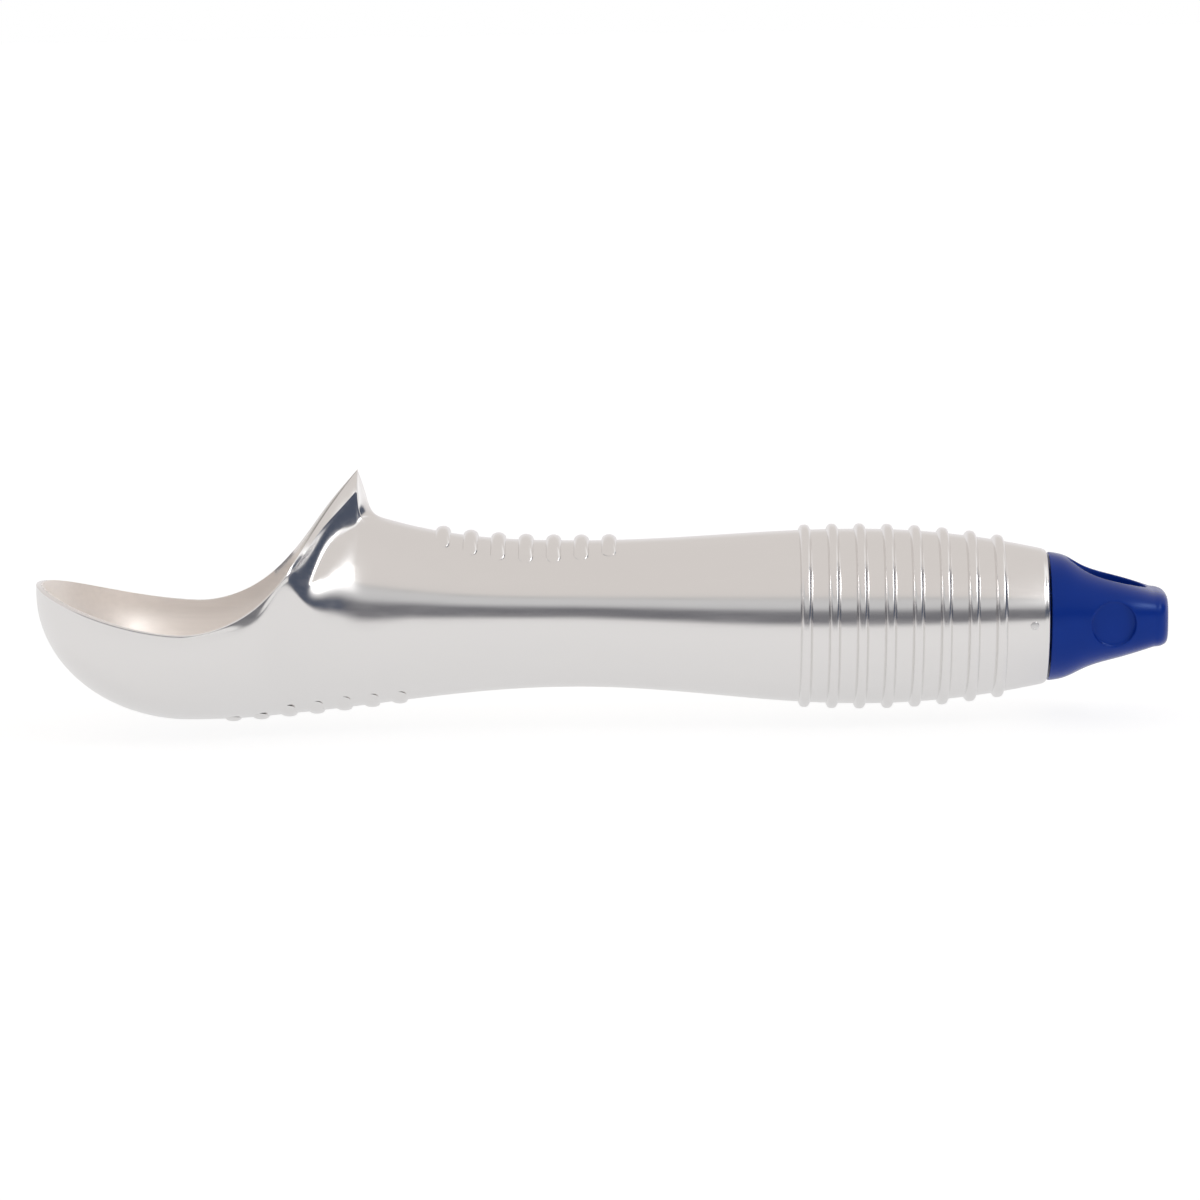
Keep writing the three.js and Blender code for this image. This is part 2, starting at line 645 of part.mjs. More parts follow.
// The round recess in the cap's -Y side, square to the tapered side at its middle
function discRecess() {
  const x = collarX + CAP_DISC_FROM_COLLAR;
  const power = capPower(x);
  const edgeShare = (1 - (CAP_DISC_RADIUS / capHalfHeight(x)) ** power) ** (1 / power);
  const depth = capHalfWidth(x) * (1 - edgeShare) + CAP_DISC_DEPTH;
  const taper = capHalfWidth(x - CAP_DISC_RADIUS) - capHalfWidth(x + CAP_DISC_RADIUS);
  const disc = new THREE.CylinderGeometry(CAP_DISC_RADIUS, CAP_DISC_RADIUS, depth + BEYOND, ROUND_STEPS);
  disc.translate(0, (depth - BEYOND) / 2, 0);
  disc.rotateZ(Math.atan2(taper, 2 * CAP_DISC_RADIUS));
  return solidFrom(disc.translate(x, -capHalfWidth(x), 0));
}

function endCap() {
  const spigot = rodAlong(collarX - SPIGOT_LENGTH, capBaseX + BEYOND, plugRadius);
  const pinBore = pinRod(PIN_RADIUS + FIT_GAP, BARREL_RADIUS);
  return capTab().add(spigot).subtract(hangHole()).subtract(discRecess()).subtract(pinBore);
}

const capPin = () => pinRod(PIN_RADIUS, handleRadius(pinX));

// Assembly

const MATERIALS = {
  aluminium: new THREE.MeshStandardMaterial({ color: 0xd2cdc9, roughness: 0.22, metalness: 1 }),
  liquid: new THREE.MeshStandardMaterial({ color: 0xc9d6dc, roughness: 0.1, metalness: 0 }),
  steel: new THREE.MeshStandardMaterial({ color: 0xb9b9ba, roughness: 0.3, metalness: 1 }),
  rubber: new THREE.MeshStandardMaterial({ color: 0x232323, roughness: 0.8, metalness: 0 }),
  bluePlastic: new THREE.MeshStandardMaterial({ color: 0x1b3686, roughness: 0.38, metalness: 0 }),
};

const scoop = new THREE.Group();

function addPiece(name, solid, material) {
  const mesh = new THREE.Mesh(geometryOf(solid), material);
  mesh.name = name;
  scoop.add(mesh);
}

addPiece('scoop_casting', scoopCasting(), MATERIALS.aluminium);
addPiece('heat_fluid', heatFluid(), MATERIALS.liquid);
addPiece('seal_plug', sealPlug(), MATERIALS.aluminium);
addPiece('seal_ring', sealRing(), MATERIALS.rubber);
addPiece('end_cap', endCap(), MATERIALS.bluePlastic);
addPiece('cap_pin', capPin(), MATERIALS.steel);

// The lowest point of the casting lies on the table
scoop.position.z = -new THREE.Box3().setFromObject(scoop).min.z;

export default scoop;
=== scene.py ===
"""Ice cream scoop: a smooth polished casting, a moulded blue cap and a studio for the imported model."""
import math

import bmesh
import bpy
import numpy as np
from bpy.props import FloatProperty, FloatVectorProperty, IntProperty, PointerProperty
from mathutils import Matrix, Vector


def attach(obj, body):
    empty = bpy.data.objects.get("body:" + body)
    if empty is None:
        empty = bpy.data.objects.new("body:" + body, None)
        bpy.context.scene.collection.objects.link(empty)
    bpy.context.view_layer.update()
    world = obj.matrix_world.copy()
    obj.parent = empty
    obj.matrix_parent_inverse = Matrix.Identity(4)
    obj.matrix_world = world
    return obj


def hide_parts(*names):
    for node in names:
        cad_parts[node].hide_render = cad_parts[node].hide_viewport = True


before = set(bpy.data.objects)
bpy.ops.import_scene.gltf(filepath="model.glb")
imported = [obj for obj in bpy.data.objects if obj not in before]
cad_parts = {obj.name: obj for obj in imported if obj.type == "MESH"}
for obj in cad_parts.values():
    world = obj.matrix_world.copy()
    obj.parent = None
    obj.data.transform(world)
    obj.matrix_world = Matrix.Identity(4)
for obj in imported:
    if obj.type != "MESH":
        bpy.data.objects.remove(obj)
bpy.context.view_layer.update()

bl_info = {
    "name": "Ice Cream Scoop",
    "version": (1, 0, 0),
    "blender": (4, 5, 0),
    "location": "View3D > Sidebar > Scoop",
    "description": "Builds a cast-aluminium ice cream scoop with a blue end cap",
    "category": "Object",
}

MM = 0.001


def size(name, description, millimetres):
    """A length that a user can change, kept in metres."""
    return FloatProperty(name=name, description=description, default=millimetres * MM,
                         unit="LENGTH", precision=5)


def colour(name, description, rgb):
    """A finish colour that a user can change."""
    return FloatVectorProperty(name=name, description=description, default=rgb,
                               subtype="COLOR", min=0.0, max=1.0)


def tilt(name, description, degrees):
    """An angle that a user can change."""
    return FloatProperty(name=name, description=description, default=math.radians(degrees), subtype="ANGLE")


# Sizes and colours


class BowlSizes(bpy.types.PropertyGroup):
    """Sizes of the bowl and its pointed heel."""

    length: size("Length", "Tip to heel crest", 52.4)
    nose: size("Nose", "Tip to the lowest point of the bowl", 25.0)
    width: size("Width", "Widest place of the bowl", 43.0)
    drop: size("Drop", "Handle axis down to the lowest point of the bowl", 16.7)
    floor: size("Floor", "Metal under the bowl", 2.6)
    land: size("Rim land", "Width of the rim's edge", 1.2)
    lip: size("Rim lip", "Straight lip under the rim", 1.5)
    dip: size("Rim dip", "Lowest point of the rim, below the handle axis", 0.25)
    tip_rise: size("Tip rise", "Rim at the tip, above the handle axis", 5.5)
    crest_rise: size("Crest rise", "Heel crest above the handle axis", 24.0)
    floor_run: size("Floor run", "Length over which the bowl floor climbs to the crest", 15.0)
    fin_half: size("Fin half width", "Half width of the back of the heel", 3.3)
    foot: size("Fin foot", "Crest to the place where the back of the heel runs out", 3.1)
    foot_rise: size("Fin foot rise", "Handle top at the fin's foot, above the axis", 16.4)
    neck_half: size("Neck half width", "Half width of the neck under the crest", 14.8)
    edge_round: size("Edge rounding", "Rounding of the rim's edges", 0.18)


class HandleSizes(bpy.types.PropertyGroup):
    """Sizes of the handle, its rings, nubs and hollow."""

    axis_height: size("Axis height", "Handle axis above the table", 17.04)
    length: size("Length", "Crest to the end of the collar", 112.1)
    waist_radius: size("Waist radius", "Thinnest place", 11.95)
    waist_from_crest: size("Waist from crest", "Crest to the waist", 35.9)
    waist_lift: size("Waist lift", "Waist centre above the axis", 0.4)
    barrel_radius: size("Barrel radius", "Thickest place", 14.25)
    barrel_from_collar: size("Barrel from collar", "Thickest place to the collar's end", 30.3)
    collar_radius: size("Collar radius", "End of the handle", 10.9)
    collar_round: size("Collar rounding", "Rounding of the collar's end", 0.45)
    sink: size("Sink", "Widest place of the handle below its middle", 0.9)
    ring_count: IntProperty(name="Rings", description="Grip rings round the barrel", default=8)
    ring_pitch: size("Ring pitch", "Ring to ring", 4.5)
    ring_width: size("Ring width", "Foot of a ring", 2.0)
    ring_height: size("Ring height", "Ring over the barrel", 0.85)
    last_ring: size("Last ring", "Last ring to the collar's end", 7.9)
    nub_count: IntProperty(name="Nubs", description="Nubs in each row", default=7)
    nub_pitch: size("Nub pitch", "Nub to nub", 4.5)
    nub_radius: size("Nub radius", "Half width of a nub", 1.25)
    nub_fade: size("Nub fade", "Length over which the ends of a nub rise to its height", 3.4)
    thumb_start: size("Thumb row", "Crest to the first thumb nub", 13.9)
    thumb_height: size("Thumb nub height", "Nub over the neck", 0.95)
    thumb_span: size("Thumb nub span", "Half length of the longest thumb nub", 7.6)
    finger_start: size("Finger row", "Tip to the first finger nub", 32.2)
    finger_height: size("Finger nub height", "Nub under the bowl", 0.5)
    finger_span: size("Finger nub span", "Half length of the longest finger nub", 9.2)
    span_loss: size("Span loss", "The outer nubs of a row are this much shorter at each end", 1.4)
    seat_radius: size("Seat radius", "Hollow that takes the plug and the cap", 8.0)
    seat_depth: size("Seat depth", "Collar's end to the seat's shoulder", 16.5)
    chamber_radius: size("Chamber radius", "Hollow that holds the liquid", 7.2)
    chamber_from_crest: size("Chamber start", "Crest to the front of the chamber", 10.0)
    chamber_dome: size("Chamber dome", "Length of the chamber's round front", 3.0)


class CapSizes(bpy.types.PropertyGroup):
    """Sizes of the end cap and its pin."""

    length: size("Length", "Collar to the end of the cap", 19.5)
    gap: size("Gap", "Gap between cap and collar", 0.3)
    base_radius: size("Base radius", "Cap at the collar", 10.5)
    shoulder_width: size("Shoulder width", "Tab width where its round end starts", 16.5)
    shoulder_height: size("Shoulder height", "Tab height where its round end starts", 9.2)
    end_width: size("End width", "Flat end of the tab", 11.0)
    end_height: size("End height", "Flat end of the tab", 7.2)
    end_round: size("End rounding", "Length of the tab's round end", 2.2)
    squareness: FloatProperty(name="Squareness", description="Power of the tab's section, 2 is an ellipse",
                              default=3.2)
    hole_from_collar: size("Hole start", "Collar to the hang hole", 3.3)
    hole_from_end: size("Hole end", "Hang hole to the end of the cap", 3.2)
    hole_width: size("Hole width", "Widest place of the hang hole", 9.4)
    disc_radius: size("Disc radius", "Bare round recess", 3.65)
    disc_depth: size("Disc depth", "Recess at the shallowest part of its edge", 0.3)
    disc_from_collar: size("Disc place", "Collar to the middle of the disc", 10.4)
    spigot_length: size("Spigot length", "Part of the cap inside the collar", 7.5)
    spigot_radius: size("Spigot radius", "Part of the cap inside the collar", 7.7)
    grain: size("Mesh grain", "Grain of the cap's rounded mesh", 0.16)
    pin_radius: size("Pin radius", "Cross pin through the collar", 0.7)
    pin_proud: size("Pin proud", "Pin's ends over the collar", 0.06)
    pin_from_collar: size("Pin place", "Collar's end to the pin", 2.6)


class FinishColours(bpy.types.PropertyGroup):
    """Colours of the finishes."""

    metal: colour("Polished metal", "Casting outside", (0.86, 0.845, 0.838))
    bowl: colour("Satin metal", "Inside of the bowl", (0.95, 0.895, 0.85))
    plastic: colour("Blue plastic", "End cap", (0.004, 0.030, 0.27))
    steel: colour("Pin steel", "Cross pin", (0.80, 0.79, 0.79))
    rubber: colour("Seal rubber", "Seal ring", (0.012, 0.012, 0.013))
    liquid: colour("Liquid", "Heat-carrying liquid", (0.62, 0.70, 0.74))


class StudioSettings(bpy.types.PropertyGroup):
    """Camera and studio."""

    distance: size("Camera distance", "Camera to the middle of the scoop", 900.0)
    elevation: tilt("Elevation", "Camera above the horizon", 8.0)
    view_angle: tilt("View angle", "Width of the view", 12.41)
    aim_x: size("Aim along", "Point the camera looks at, along the handle", -0.16)
    aim_z: size("Aim height", "Point the camera looks at, above the table", 19.66)
    floor_tilt: tilt("Floor tilt", "The scoop lies on its bowl and its barrel", -0.95)
    ceiling: colour("Ceiling", "Light from above", (0.735, 0.70, 0.675))
    surround: colour("Surround", "Light from the floor and the walls", (0.84, 0.82, 0.82))
    flag: colour("Flag", "Dark screens on the cap's side", (0.07, 0.085, 0.125))


# Curves


def mix(start, end, share):
    return start + (end - start) * share


def clamp(share):
    return min(max(share, 0.0), 1.0)


def ease(share):
    return (1.0 - math.cos(math.pi * clamp(share))) / 2.0


def shares(count):
    """Even steps from just over 0 up to 1."""
    return [(i + 1) / count for i in range(count)]


def quarter(steps):
    """Angles in even steps from 0 to a quarter turn."""
    return [i / steps * math.pi / 2 for i in range(steps + 1)]


def spline(points, level_start=False):
    """A smooth curve through points (place, value, ...), as a function of the place."""
    table = np.array(points, dtype=float)
    place, value = table[:, 0], table[:, 1:]
    gap = np.diff(place)
    count = len(place)
    rise = np.diff(value, axis=0) / gap[:, None]
    system = np.eye(count)
    target = np.zeros_like(value)
    for i in range(1, count - 1):
        system[i, i - 1:i + 2] = gap[i - 1], 2.0 * (gap[i - 1] + gap[i]), gap[i]
        target[i] = 6.0 * (rise[i] - rise[i - 1])
    if level_start:
        system[0, :2] = 2.0 * gap[0], gap[0]
        target[0] = 6.0 * rise[0]
    bend = np.linalg.solve(system, target)

    def at(where):
        i = int(np.clip(np.searchsorted(place, where) - 1, 0, count - 2))
        after, before = where - place[i], place[i + 1] - where
        line = (value[i] * before + value[i + 1] * after) / gap[i]
        curve = bend[i] * (before ** 3 / gap[i] - before * gap[i])
        curve = curve + bend[i + 1] * (after ** 3 / gap[i] - after * gap[i])
        return line + curve / 6.0

    return at


class CastingShape:
    """The casting's outline: its profile, the lines along it and its sections, over the handle axis."""

    HEEL_STEPS = 60
    FIN_STEPS = 40
    FIN_LAST_ROW = 10
    FIN_LENGTH = 9 * MM
    NOSE_STEPS = 48
    NECK_STEP = 0.3 * MM
    RING_STEP = 0.1 * MM
    BARREL_STEP = 0.4 * MM
    COLLAR_STEPS = 5
    DOME_STEPS = 8
    LOWER_STEPS = 24
    SIDE_STEPS = 8
    FLANK_STEPS = 16
    LAND_STEPS = 2
    INSIDE_STEPS = 16
    FOOT_ANGLE = math.radians(58)
    CORNER_ANGLE = math.radians(26)
    EDGE_ANGLE = math.radians(20)
    # How far the flank keeps the slope of its foot and of its corner, as shares of its length
    FLANK_REACH = (0.14, 0.5)

    def __init__(self, bowl, handle, cap_length):
        self.bowl = bowl
        self.handle = handle
        self.tip_x = -(bowl.length + handle.length + cap_length) / 2
        self.nose_x = self.tip_x + bowl.nose
        self.crest_x = self.tip_x + bowl.length
        self.foot_x = self.crest_x + bowl.foot
        self.waist_x = self.crest_x + handle.waist_from_crest
        self.collar_x = self.crest_x + handle.length
        self.barrel_x = self.collar_x - handle.barrel_from_collar
        self.oval_x = self.crest_x + 12 * MM
        self.corner_index = self.LOWER_STEPS + self.SIDE_STEPS + self.FLANK_STEPS
        self.edge_index = self.corner_index + self.LAND_STEPS
        self.heel_curve = spline([(0, 0), (0.25, 0.06), (0.44, 0.19), (0.6, 0.38), (0.8, 0.71), (1, 1)], True)
        self.make_rails()

    # Profile

    def bottom(self, x):
        share = (x - self.nose_x) / (self.waist_x - self.nose_x)
        return mix(-self.bowl.drop, self.handle.waist_lift - self.handle.waist_radius, ease(share))

    def rim_ahead(self, x):
        share = clamp((self.nose_x - x) / self.bowl.nose)
        return mix(-self.bowl.dip, self.bowl.tip_rise, share ** 1.65)

    def rim_behind(self, x):
        share = (x - self.nose_x) / (self.crest_x - self.nose_x)
        return mix(-self.bowl.dip, self.bowl.crest_rise, float(self.heel_curve(share)[0]))

    def floor(self, x):
        depth = self.bowl.drop - self.bowl.floor - self.bowl.dip
        share = clamp((self.crest_x - x) / self.bowl.floor_run)
        return self.rim_behind(x) - depth * math.sin(share * math.pi / 2)

    def neck_share(self, x):
        return max((self.waist_x - x) / (self.waist_x - self.crest_x), 0.0)

    def neck_top(self, x):
        waist_top = self.handle.waist_lift + self.handle.waist_radius
        share = max((self.waist_x - x) / (self.waist_x - self.foot_x), 0.0)
        return waist_top + (self.bowl.foot_rise - waist_top) * share ** 2.6

    def neck_oval(self, x):
        """Half width and centre height of the neck's oval."""
        share = self.neck_share(x)
        waist = self.handle.waist_radius
        lift = self.handle.waist_lift
        half = waist + (self.bowl.neck_half - waist) * share ** 2.43
        return half, lift * (1.0 - share ** 2.9)

    def handle_radius(self, x):
        handle = self.handle
        if x < self.barrel_x:
            share = (x - self.waist_x) / (self.barrel_x - self.waist_x)
            return mix(handle.waist_radius, handle.barrel_radius, ease(share))
        share = (x - self.barrel_x) / (self.collar_x - self.barrel_x)
        return mix(handle.barrel_radius, handle.collar_radius, share ** 2)

    def handle_lift(self, x):
        share = (x - self.waist_x) / (self.barrel_x - self.waist_x)
        return mix(self.handle.waist_lift, 0.0, ease(share))

    def upper_oval(self, x):
        """Half width, centre and crown of the neck's upper side."""
        if x > self.waist_x:
            radius, lift = self.handle_radius(x), self.handle_lift(x)
            return radius, lift, lift + radius
        half, centre = self.neck_oval(x)
        return half, centre, self.neck_top(x)

    def lower_oval(self, x):
        half, centre = self.equator(x) if x < self.oval_x else self.neck_oval(x)
        return half, centre, self.bottom(x)

    # Lines along the heel and the neck

    def oval_point(self, x, angle):
        half, centre = self.neck_oval(x)
        return x, half * math.sin(angle), centre + (self.neck_top(x) - centre) * math.cos(angle)

    def make_rails(self):
        bowl = self.bowl
        half = bowl.width / 2

        def heel(share):
            return mix(self.nose_x, self.crest_x, share)

        def to_neck(share):
            return mix(half, bowl.neck_half, share)

        neck = [(x, *self.neck_oval(x)) for x in (self.crest_x + step * MM for step in (9, 12, 15, 19))]
        rise = bowl.foot_rise
        flare = heel(0.255)
        flare_rim = self.rim_behind(flare)
        self.equator = spline([
            (self.nose_x, half, -bowl.dip - bowl.lip),
            (flare, to_neck(0.03), flare_rim - 1.3 * bowl.lip),
            (heel(0.50), to_neck(0.14), 0.20 * rise),
            (heel(0.624), to_neck(0.37), 0.40 * rise),
            (heel(0.697), to_neck(0.50), 0.29 * rise),
            (heel(0.79), to_neck(0.68), 0.14 * rise),
            (heel(0.90), to_neck(0.88), 0.06 * rise),
            (self.crest_x, bowl.neck_half, 0.0),
        ] + neck, True)
        # Rows along the heel: share of its length, foot angle and height, corner width and drop, lean, land
        flank_rows = [
            (0.0, 88.5, -0.055, 0.999, 0.05, 8, 1.2),
            (0.255, 87.4, 0.028, 0.990, 0.08, 9, 1.0),
            (0.50, 85.7, 0.268, 0.9505, 0.2, 11, 0.35),
            (0.624, 83.5, 0.50, 0.870, 0.5, 11, 0.3),
            (0.697, 75.7, 0.43, 0.73, 1.1, 6, 0.9),
            (0.79, 63.0, 0.50, 0.535, 1.5, 6, 1.6),
            (0.862, 49.0, 0.707, 0.40, 2.1, 12, 2.2),
            (0.938, 34.0, 0.8835, 0.26, 2.7, 15, 2.6),
            (1.0, 25.0, 0.939, bowl.fin_half / half, 3.0, 14, 2.6),
        ]
        self.flank_rail = spline([
            (heel(share), math.radians(angle), height * rise, width * half, drop * MM, math.radians(lean),
             across * MM)
            for share, angle, height, width, drop, lean, across in flank_rows
        ])
        crest_angle, crest_foot = self.flank_rail(self.crest_x)[:2]
        crest_centre = self.equator(self.crest_x)[1]
        crest_top = crest_centre + (crest_foot - crest_centre) / math.cos(crest_angle)
        back = [self.crest_x + step * MM for step in (4, 9, 12, 15)]
        self.side_top = spline([(self.crest_x, crest_top)] + [(x, self.neck_top(x)) for x in back])
        self.fin_lean = spline([
            (0, 14), (1, 16), (2, 20), (3, 28), (4, 40), (5, 56), (6, 66), (7, 71), (8, 71), (9, 68.5),
            (10, 64),
        ])
        foot_end = math.degrees(self.FOOT_ANGLE)
        self.fin_foot = spline([(-1.5, 30), (0, 25), (1.5, 23), (4, 31), (7, 48), (10, foot_end)])
        end = self.crest_x + self.FIN_LENGTH
        corner_end = self.oval_point(end, self.CORNER_ANGLE)
        # Rows from the crest back to the neck, in millimetres: number, place of the section, place and height
        # of its top, place, width and height of its corner
        fin_rows = [
            (0, 0, 0, 24, 0, 3.3, 21.0),
            (1, 0.65, 0.3, 23.2, 0.02, 3.3, 20.3),
            (2, 1.3, 0.8, 21.8, 0.05, 3.3, 19.4),
            (3, 1.95, 1.3, 20.2, 0.1, 3.3, 18.4),
            (4, 2.6, 1.8, 18.6, 0.2, 3.3, 17.4),
            (5, 3.25, 2.35, 17.3, 0.5, 3.35, 16.7),
            (6, 3.9, 3.1, 16.55, 1.2, 3.5, 16.25),
            (7, 4.6, 4.2, self.neck_top(self.crest_x + 4.2 * MM) / MM, 2.6, 3.7, 15.85),
            (8, 5.6, 5.6, self.neck_top(self.crest_x + 5.6 * MM) / MM, 4.4, 4.1, 15.28),
            (9, 7.0, 7.0, self.neck_top(self.crest_x + 7 * MM) / MM, 6.6, 4.9, 14.37),
            (10, 9.0, 9.0, self.neck_top(end) / MM, 9.0, corner_end[1] / MM, corner_end[2] / MM),
        ]
        self.fin_rows = spline(fin_rows)

    # Sections, from the bottom round the side to the middle of the top

    def lower_arc(self, x, half, centre, bottom):
        angles = quarter(self.LOWER_STEPS)
        return [(x, half * math.sin(a), mix(centre, bottom, math.cos(a))) for a in angles]

    def side_arc(self, x, foot_angle, rise):
        """Points from the equator up an oval of this rise to the foot of the flank."""
        half, centre = self.equator(x)
        angles = [mix(math.pi / 2, foot_angle, share) for share in shares(self.SIDE_STEPS)]
        points = [np.array((x, half * math.sin(a), centre + rise * math.cos(a))) for a in angles]
        slope = np.array((0.0, half * math.cos(foot_angle), -rise * math.sin(foot_angle)))
        return points, slope / np.linalg.norm(slope)

    def flank(self, foot, foot_slope, corner, corner_slope, reach):
        """Hollow curve from the foot, which runs out into the neck, up to the corner under the rim."""
        chord = np.linalg.norm(corner - foot)
        start = foot - foot_slope * reach[0] * chord
        end = corner + corner_slope * reach[1] * chord
        points = []
        for t in shares(self.FLANK_STEPS):
            weights = ((1 - t) ** 3, 3 * t * (1 - t) ** 2, 3 * t * t * (1 - t), t ** 3)
            points.append(sum(weight * place for weight, place in zip(weights, (foot, start, end, corner))))
        return points

    def land(self, corner, edge):
        start, end = np.array(corner), np.array(edge)
        return [mix(start, end, share) for share in shares(self.LAND_STEPS)]

    def heel_section(self, x):
        half, centre = self.equator(x)
        lower = self.lower_arc(x, half, centre, self.bottom(x))
        rim = self.rim_behind(x)
        foot_angle, foot_height, width, drop, lean, land = self.flank_rail(x)
        corner = np.array((x, width, rim - drop))
        side, slope = self.side_arc(x, foot_angle, (foot_height - centre) / math.cos(foot_angle))
        wall = np.array((0.0, math.sin(lean), -math.cos(lean)))
        side += self.flank(side[-1], slope, corner, wall, self.FLANK_REACH)
        edge = width - max(land, 0.06 * MM)
        middle = self.floor(x)
        angles = quarter(self.INSIDE_STEPS)[1:]
        inside = [(x, edge * math.cos(a), mix(rim, middle, math.sin(a))) for a in angles]
        return lower + side + self.land(corner, (x, edge, rim)) + inside

    def fin_section(self, row):
        """Section behind the crest: the round back of the heel runs down into the handle."""
        ring, top_x, top_z, corner_x, corner_y, corner_z = self.fin_rows(row) * MM
        x = self.crest_x + ring
        half, centre = self.equator(x)
        lower = self.lower_arc(x, half, centre, self.bottom(x))
        corner = np.array((self.crest_x + corner_x, corner_y, corner_z))
        top = np.array((self.crest_x + top_x, 0.0, top_z))
        share = ease(row / self.FIN_LAST_ROW)
        foot_angle = math.radians(self.fin_foot(row)[0])
        side, slope = self.side_arc(x, foot_angle, self.side_top(x)[0] - centre)
        lean = math.radians(self.fin_lean(row)[0])
        turn = math.radians(mix(37, 0, ease((row - 5) / 5)))
        wall = np.array((math.sin(lean) * math.sin(turn), math.sin(lean) * math.cos(turn), -math.cos(lean)))
        reach = [mix(start, 0.34, share) for start in self.FLANK_REACH]
        side += self.flank(side[-1], slope, corner, wall, reach)
        round_angle = self.CORNER_ANGLE

        def back(place):
            """A point between the corner and the ridge: a blunt ridge that turns into the neck's oval."""
            angle = round_angle * (1 - place)
            oval_across = math.sin(angle) / math.sin(round_angle)
            oval_along = (math.cos(angle) - math.cos(round_angle)) / (1 - math.cos(round_angle))
            across = mix(1 - place, oval_across, share)
            along = mix(1 - (1 - place) ** 1.15, oval_along, share)
            x, _, z = mix(corner, top, along)
            return np.array((x, corner[1] * across, z))

        edge = 1 - self.EDGE_ANGLE / round_angle
        land = [back(edge * place) for place in shares(self.LAND_STEPS)]
        inside = [back(mix(edge, 1.0, place)) for place in shares(self.INSIDE_STEPS)]
        return lower + side + land + inside

    def upper_angles(self):
        """Angles from the top of an oval section, from the equator to the middle of the top."""
        angles = []
        stops = (math.pi / 2, self.FOOT_ANGLE, self.CORNER_ANGLE, self.EDGE_ANGLE, 0.0)
        counts = (self.SIDE_STEPS, self.FLANK_STEPS, self.LAND_STEPS, self.INSIDE_STEPS)
        for start, stop, steps in zip(stops, stops[1:], counts):
            angles += [mix(start, stop, share) for share in shares(steps)]
        return angles

    def oval_section(self, x):
        half, centre = self.neck_oval(x)
        lower = self.lower_arc(x, half, centre, self.bottom(x))
        return lower + [self.oval_point(x, angle) for angle in self.upper_angles()]

    def round_section(self, x, radius, lift, sink=0.0):
        """A round section whose widest place lies below its middle by the sink."""
        centre = lift - sink
        lower = self.lower_arc(x, radius, centre, lift - radius)
        top = lift + radius
        return lower + [(x, radius * math.sin(a), mix(centre, top, math.cos(a))) for a in self.upper_angles()]

    def nose_section(self, turn, side):
        """The section at the bowl's lowest point, turned round it from the side to the tip."""
        bowl = self.bowl
        forward, sideways = math.sin(turn), math.cos(turn)
        climb = self.rim_ahead(self.nose_x - bowl.nose * forward) + bowl.dip
        lip_foot = side[self.LOWER_STEPS][2]
        points = []
        for i, (_, y, z) in enumerate(side):
            inner = i >= self.edge_index
            inset = bowl.land * clamp((i - self.corner_index) / self.LAND_STEPS)
            reach = bowl.nose - inset
            half = bowl.width / 2 - inset
            low = self.floor(self.nose_x) if inner else -bowl.drop
            high = -bowl.dip if inner else lip_foot
            share = y / half
            rise = climb * clamp((z - low) / (high - low))
            points.append((self.nose_x - reach * share * forward, half * share * sideways, z + rise))
        return points

    # Whole casting

    def ring_share(self, x):
        """Distance from the nearest ring's middle, over half the ring's width."""
        handle = self.handle
        first = self.collar_x - handle.last_ring - (handle.ring_count - 1) * handle.ring_pitch
        index = min(max(round((x - first) / handle.ring_pitch), 0), handle.ring_count - 1)
        return abs(x - first - index * handle.ring_pitch) / (handle.ring_width / 2)

    def handle_places(self, start):
        """Places of the sections from the waist to the collar, closer together on the rings."""
        places = []
        x = start
        while x < self.collar_x - self.handle.collar_round - 0.5 * MM:
            x += self.RING_STEP if self.ring_share(x) < 1.3 else self.BARREL_STEP
            places.append(x)
        return places

    def stations(self):
        """Half sections from the bowl's lowest point to the collar, then back through the hollow."""
        handle = self.handle
        halves = []
        for i in range(self.HEEL_STEPS + 1):
            halves.append(self.heel_section(mix(self.nose_x, self.crest_x, i / self.HEEL_STEPS)))
        for i in range(1, self.FIN_STEPS + 1):
            halves.append(self.fin_section(self.FIN_LAST_ROW * i / self.FIN_STEPS))
        x = self.crest_x + self.FIN_LENGTH
        while x < self.waist_x - 0.4 * MM:
            x += self.NECK_STEP
            halves.append(self.oval_section(x))
        for x in self.handle_places(x):
            sink = handle.sink * math.sin(math.pi * (x - self.waist_x) / (self.collar_x - self.waist_x))
            halves.append(self.round_section(x, self.handle_radius(x), self.handle_lift(x), sink))
        for angle in quarter(self.COLLAR_STEPS):
            x = self.collar_x - handle.collar_round * (1 - math.sin(angle))
            radius = handle.collar_radius - handle.collar_round * (1 - math.cos(angle))
            halves.append(self.round_section(x, radius, 0.0))
        seat_x = self.collar_x - handle.seat_depth
        chamber_x = self.crest_x + handle.chamber_from_crest
        hollow = [(self.collar_x, handle.seat_radius), (seat_x, handle.seat_radius),
                  (seat_x, handle.chamber_radius)]
        for angle in reversed(quarter(self.DOME_STEPS)):
            hollow.append((chamber_x + handle.chamber_dome * (1 - math.cos(angle)),
                           handle.chamber_radius * math.sin(angle)))
        halves += [self.round_section(x, radius, 0.0) for x, radius in hollow]
        return halves


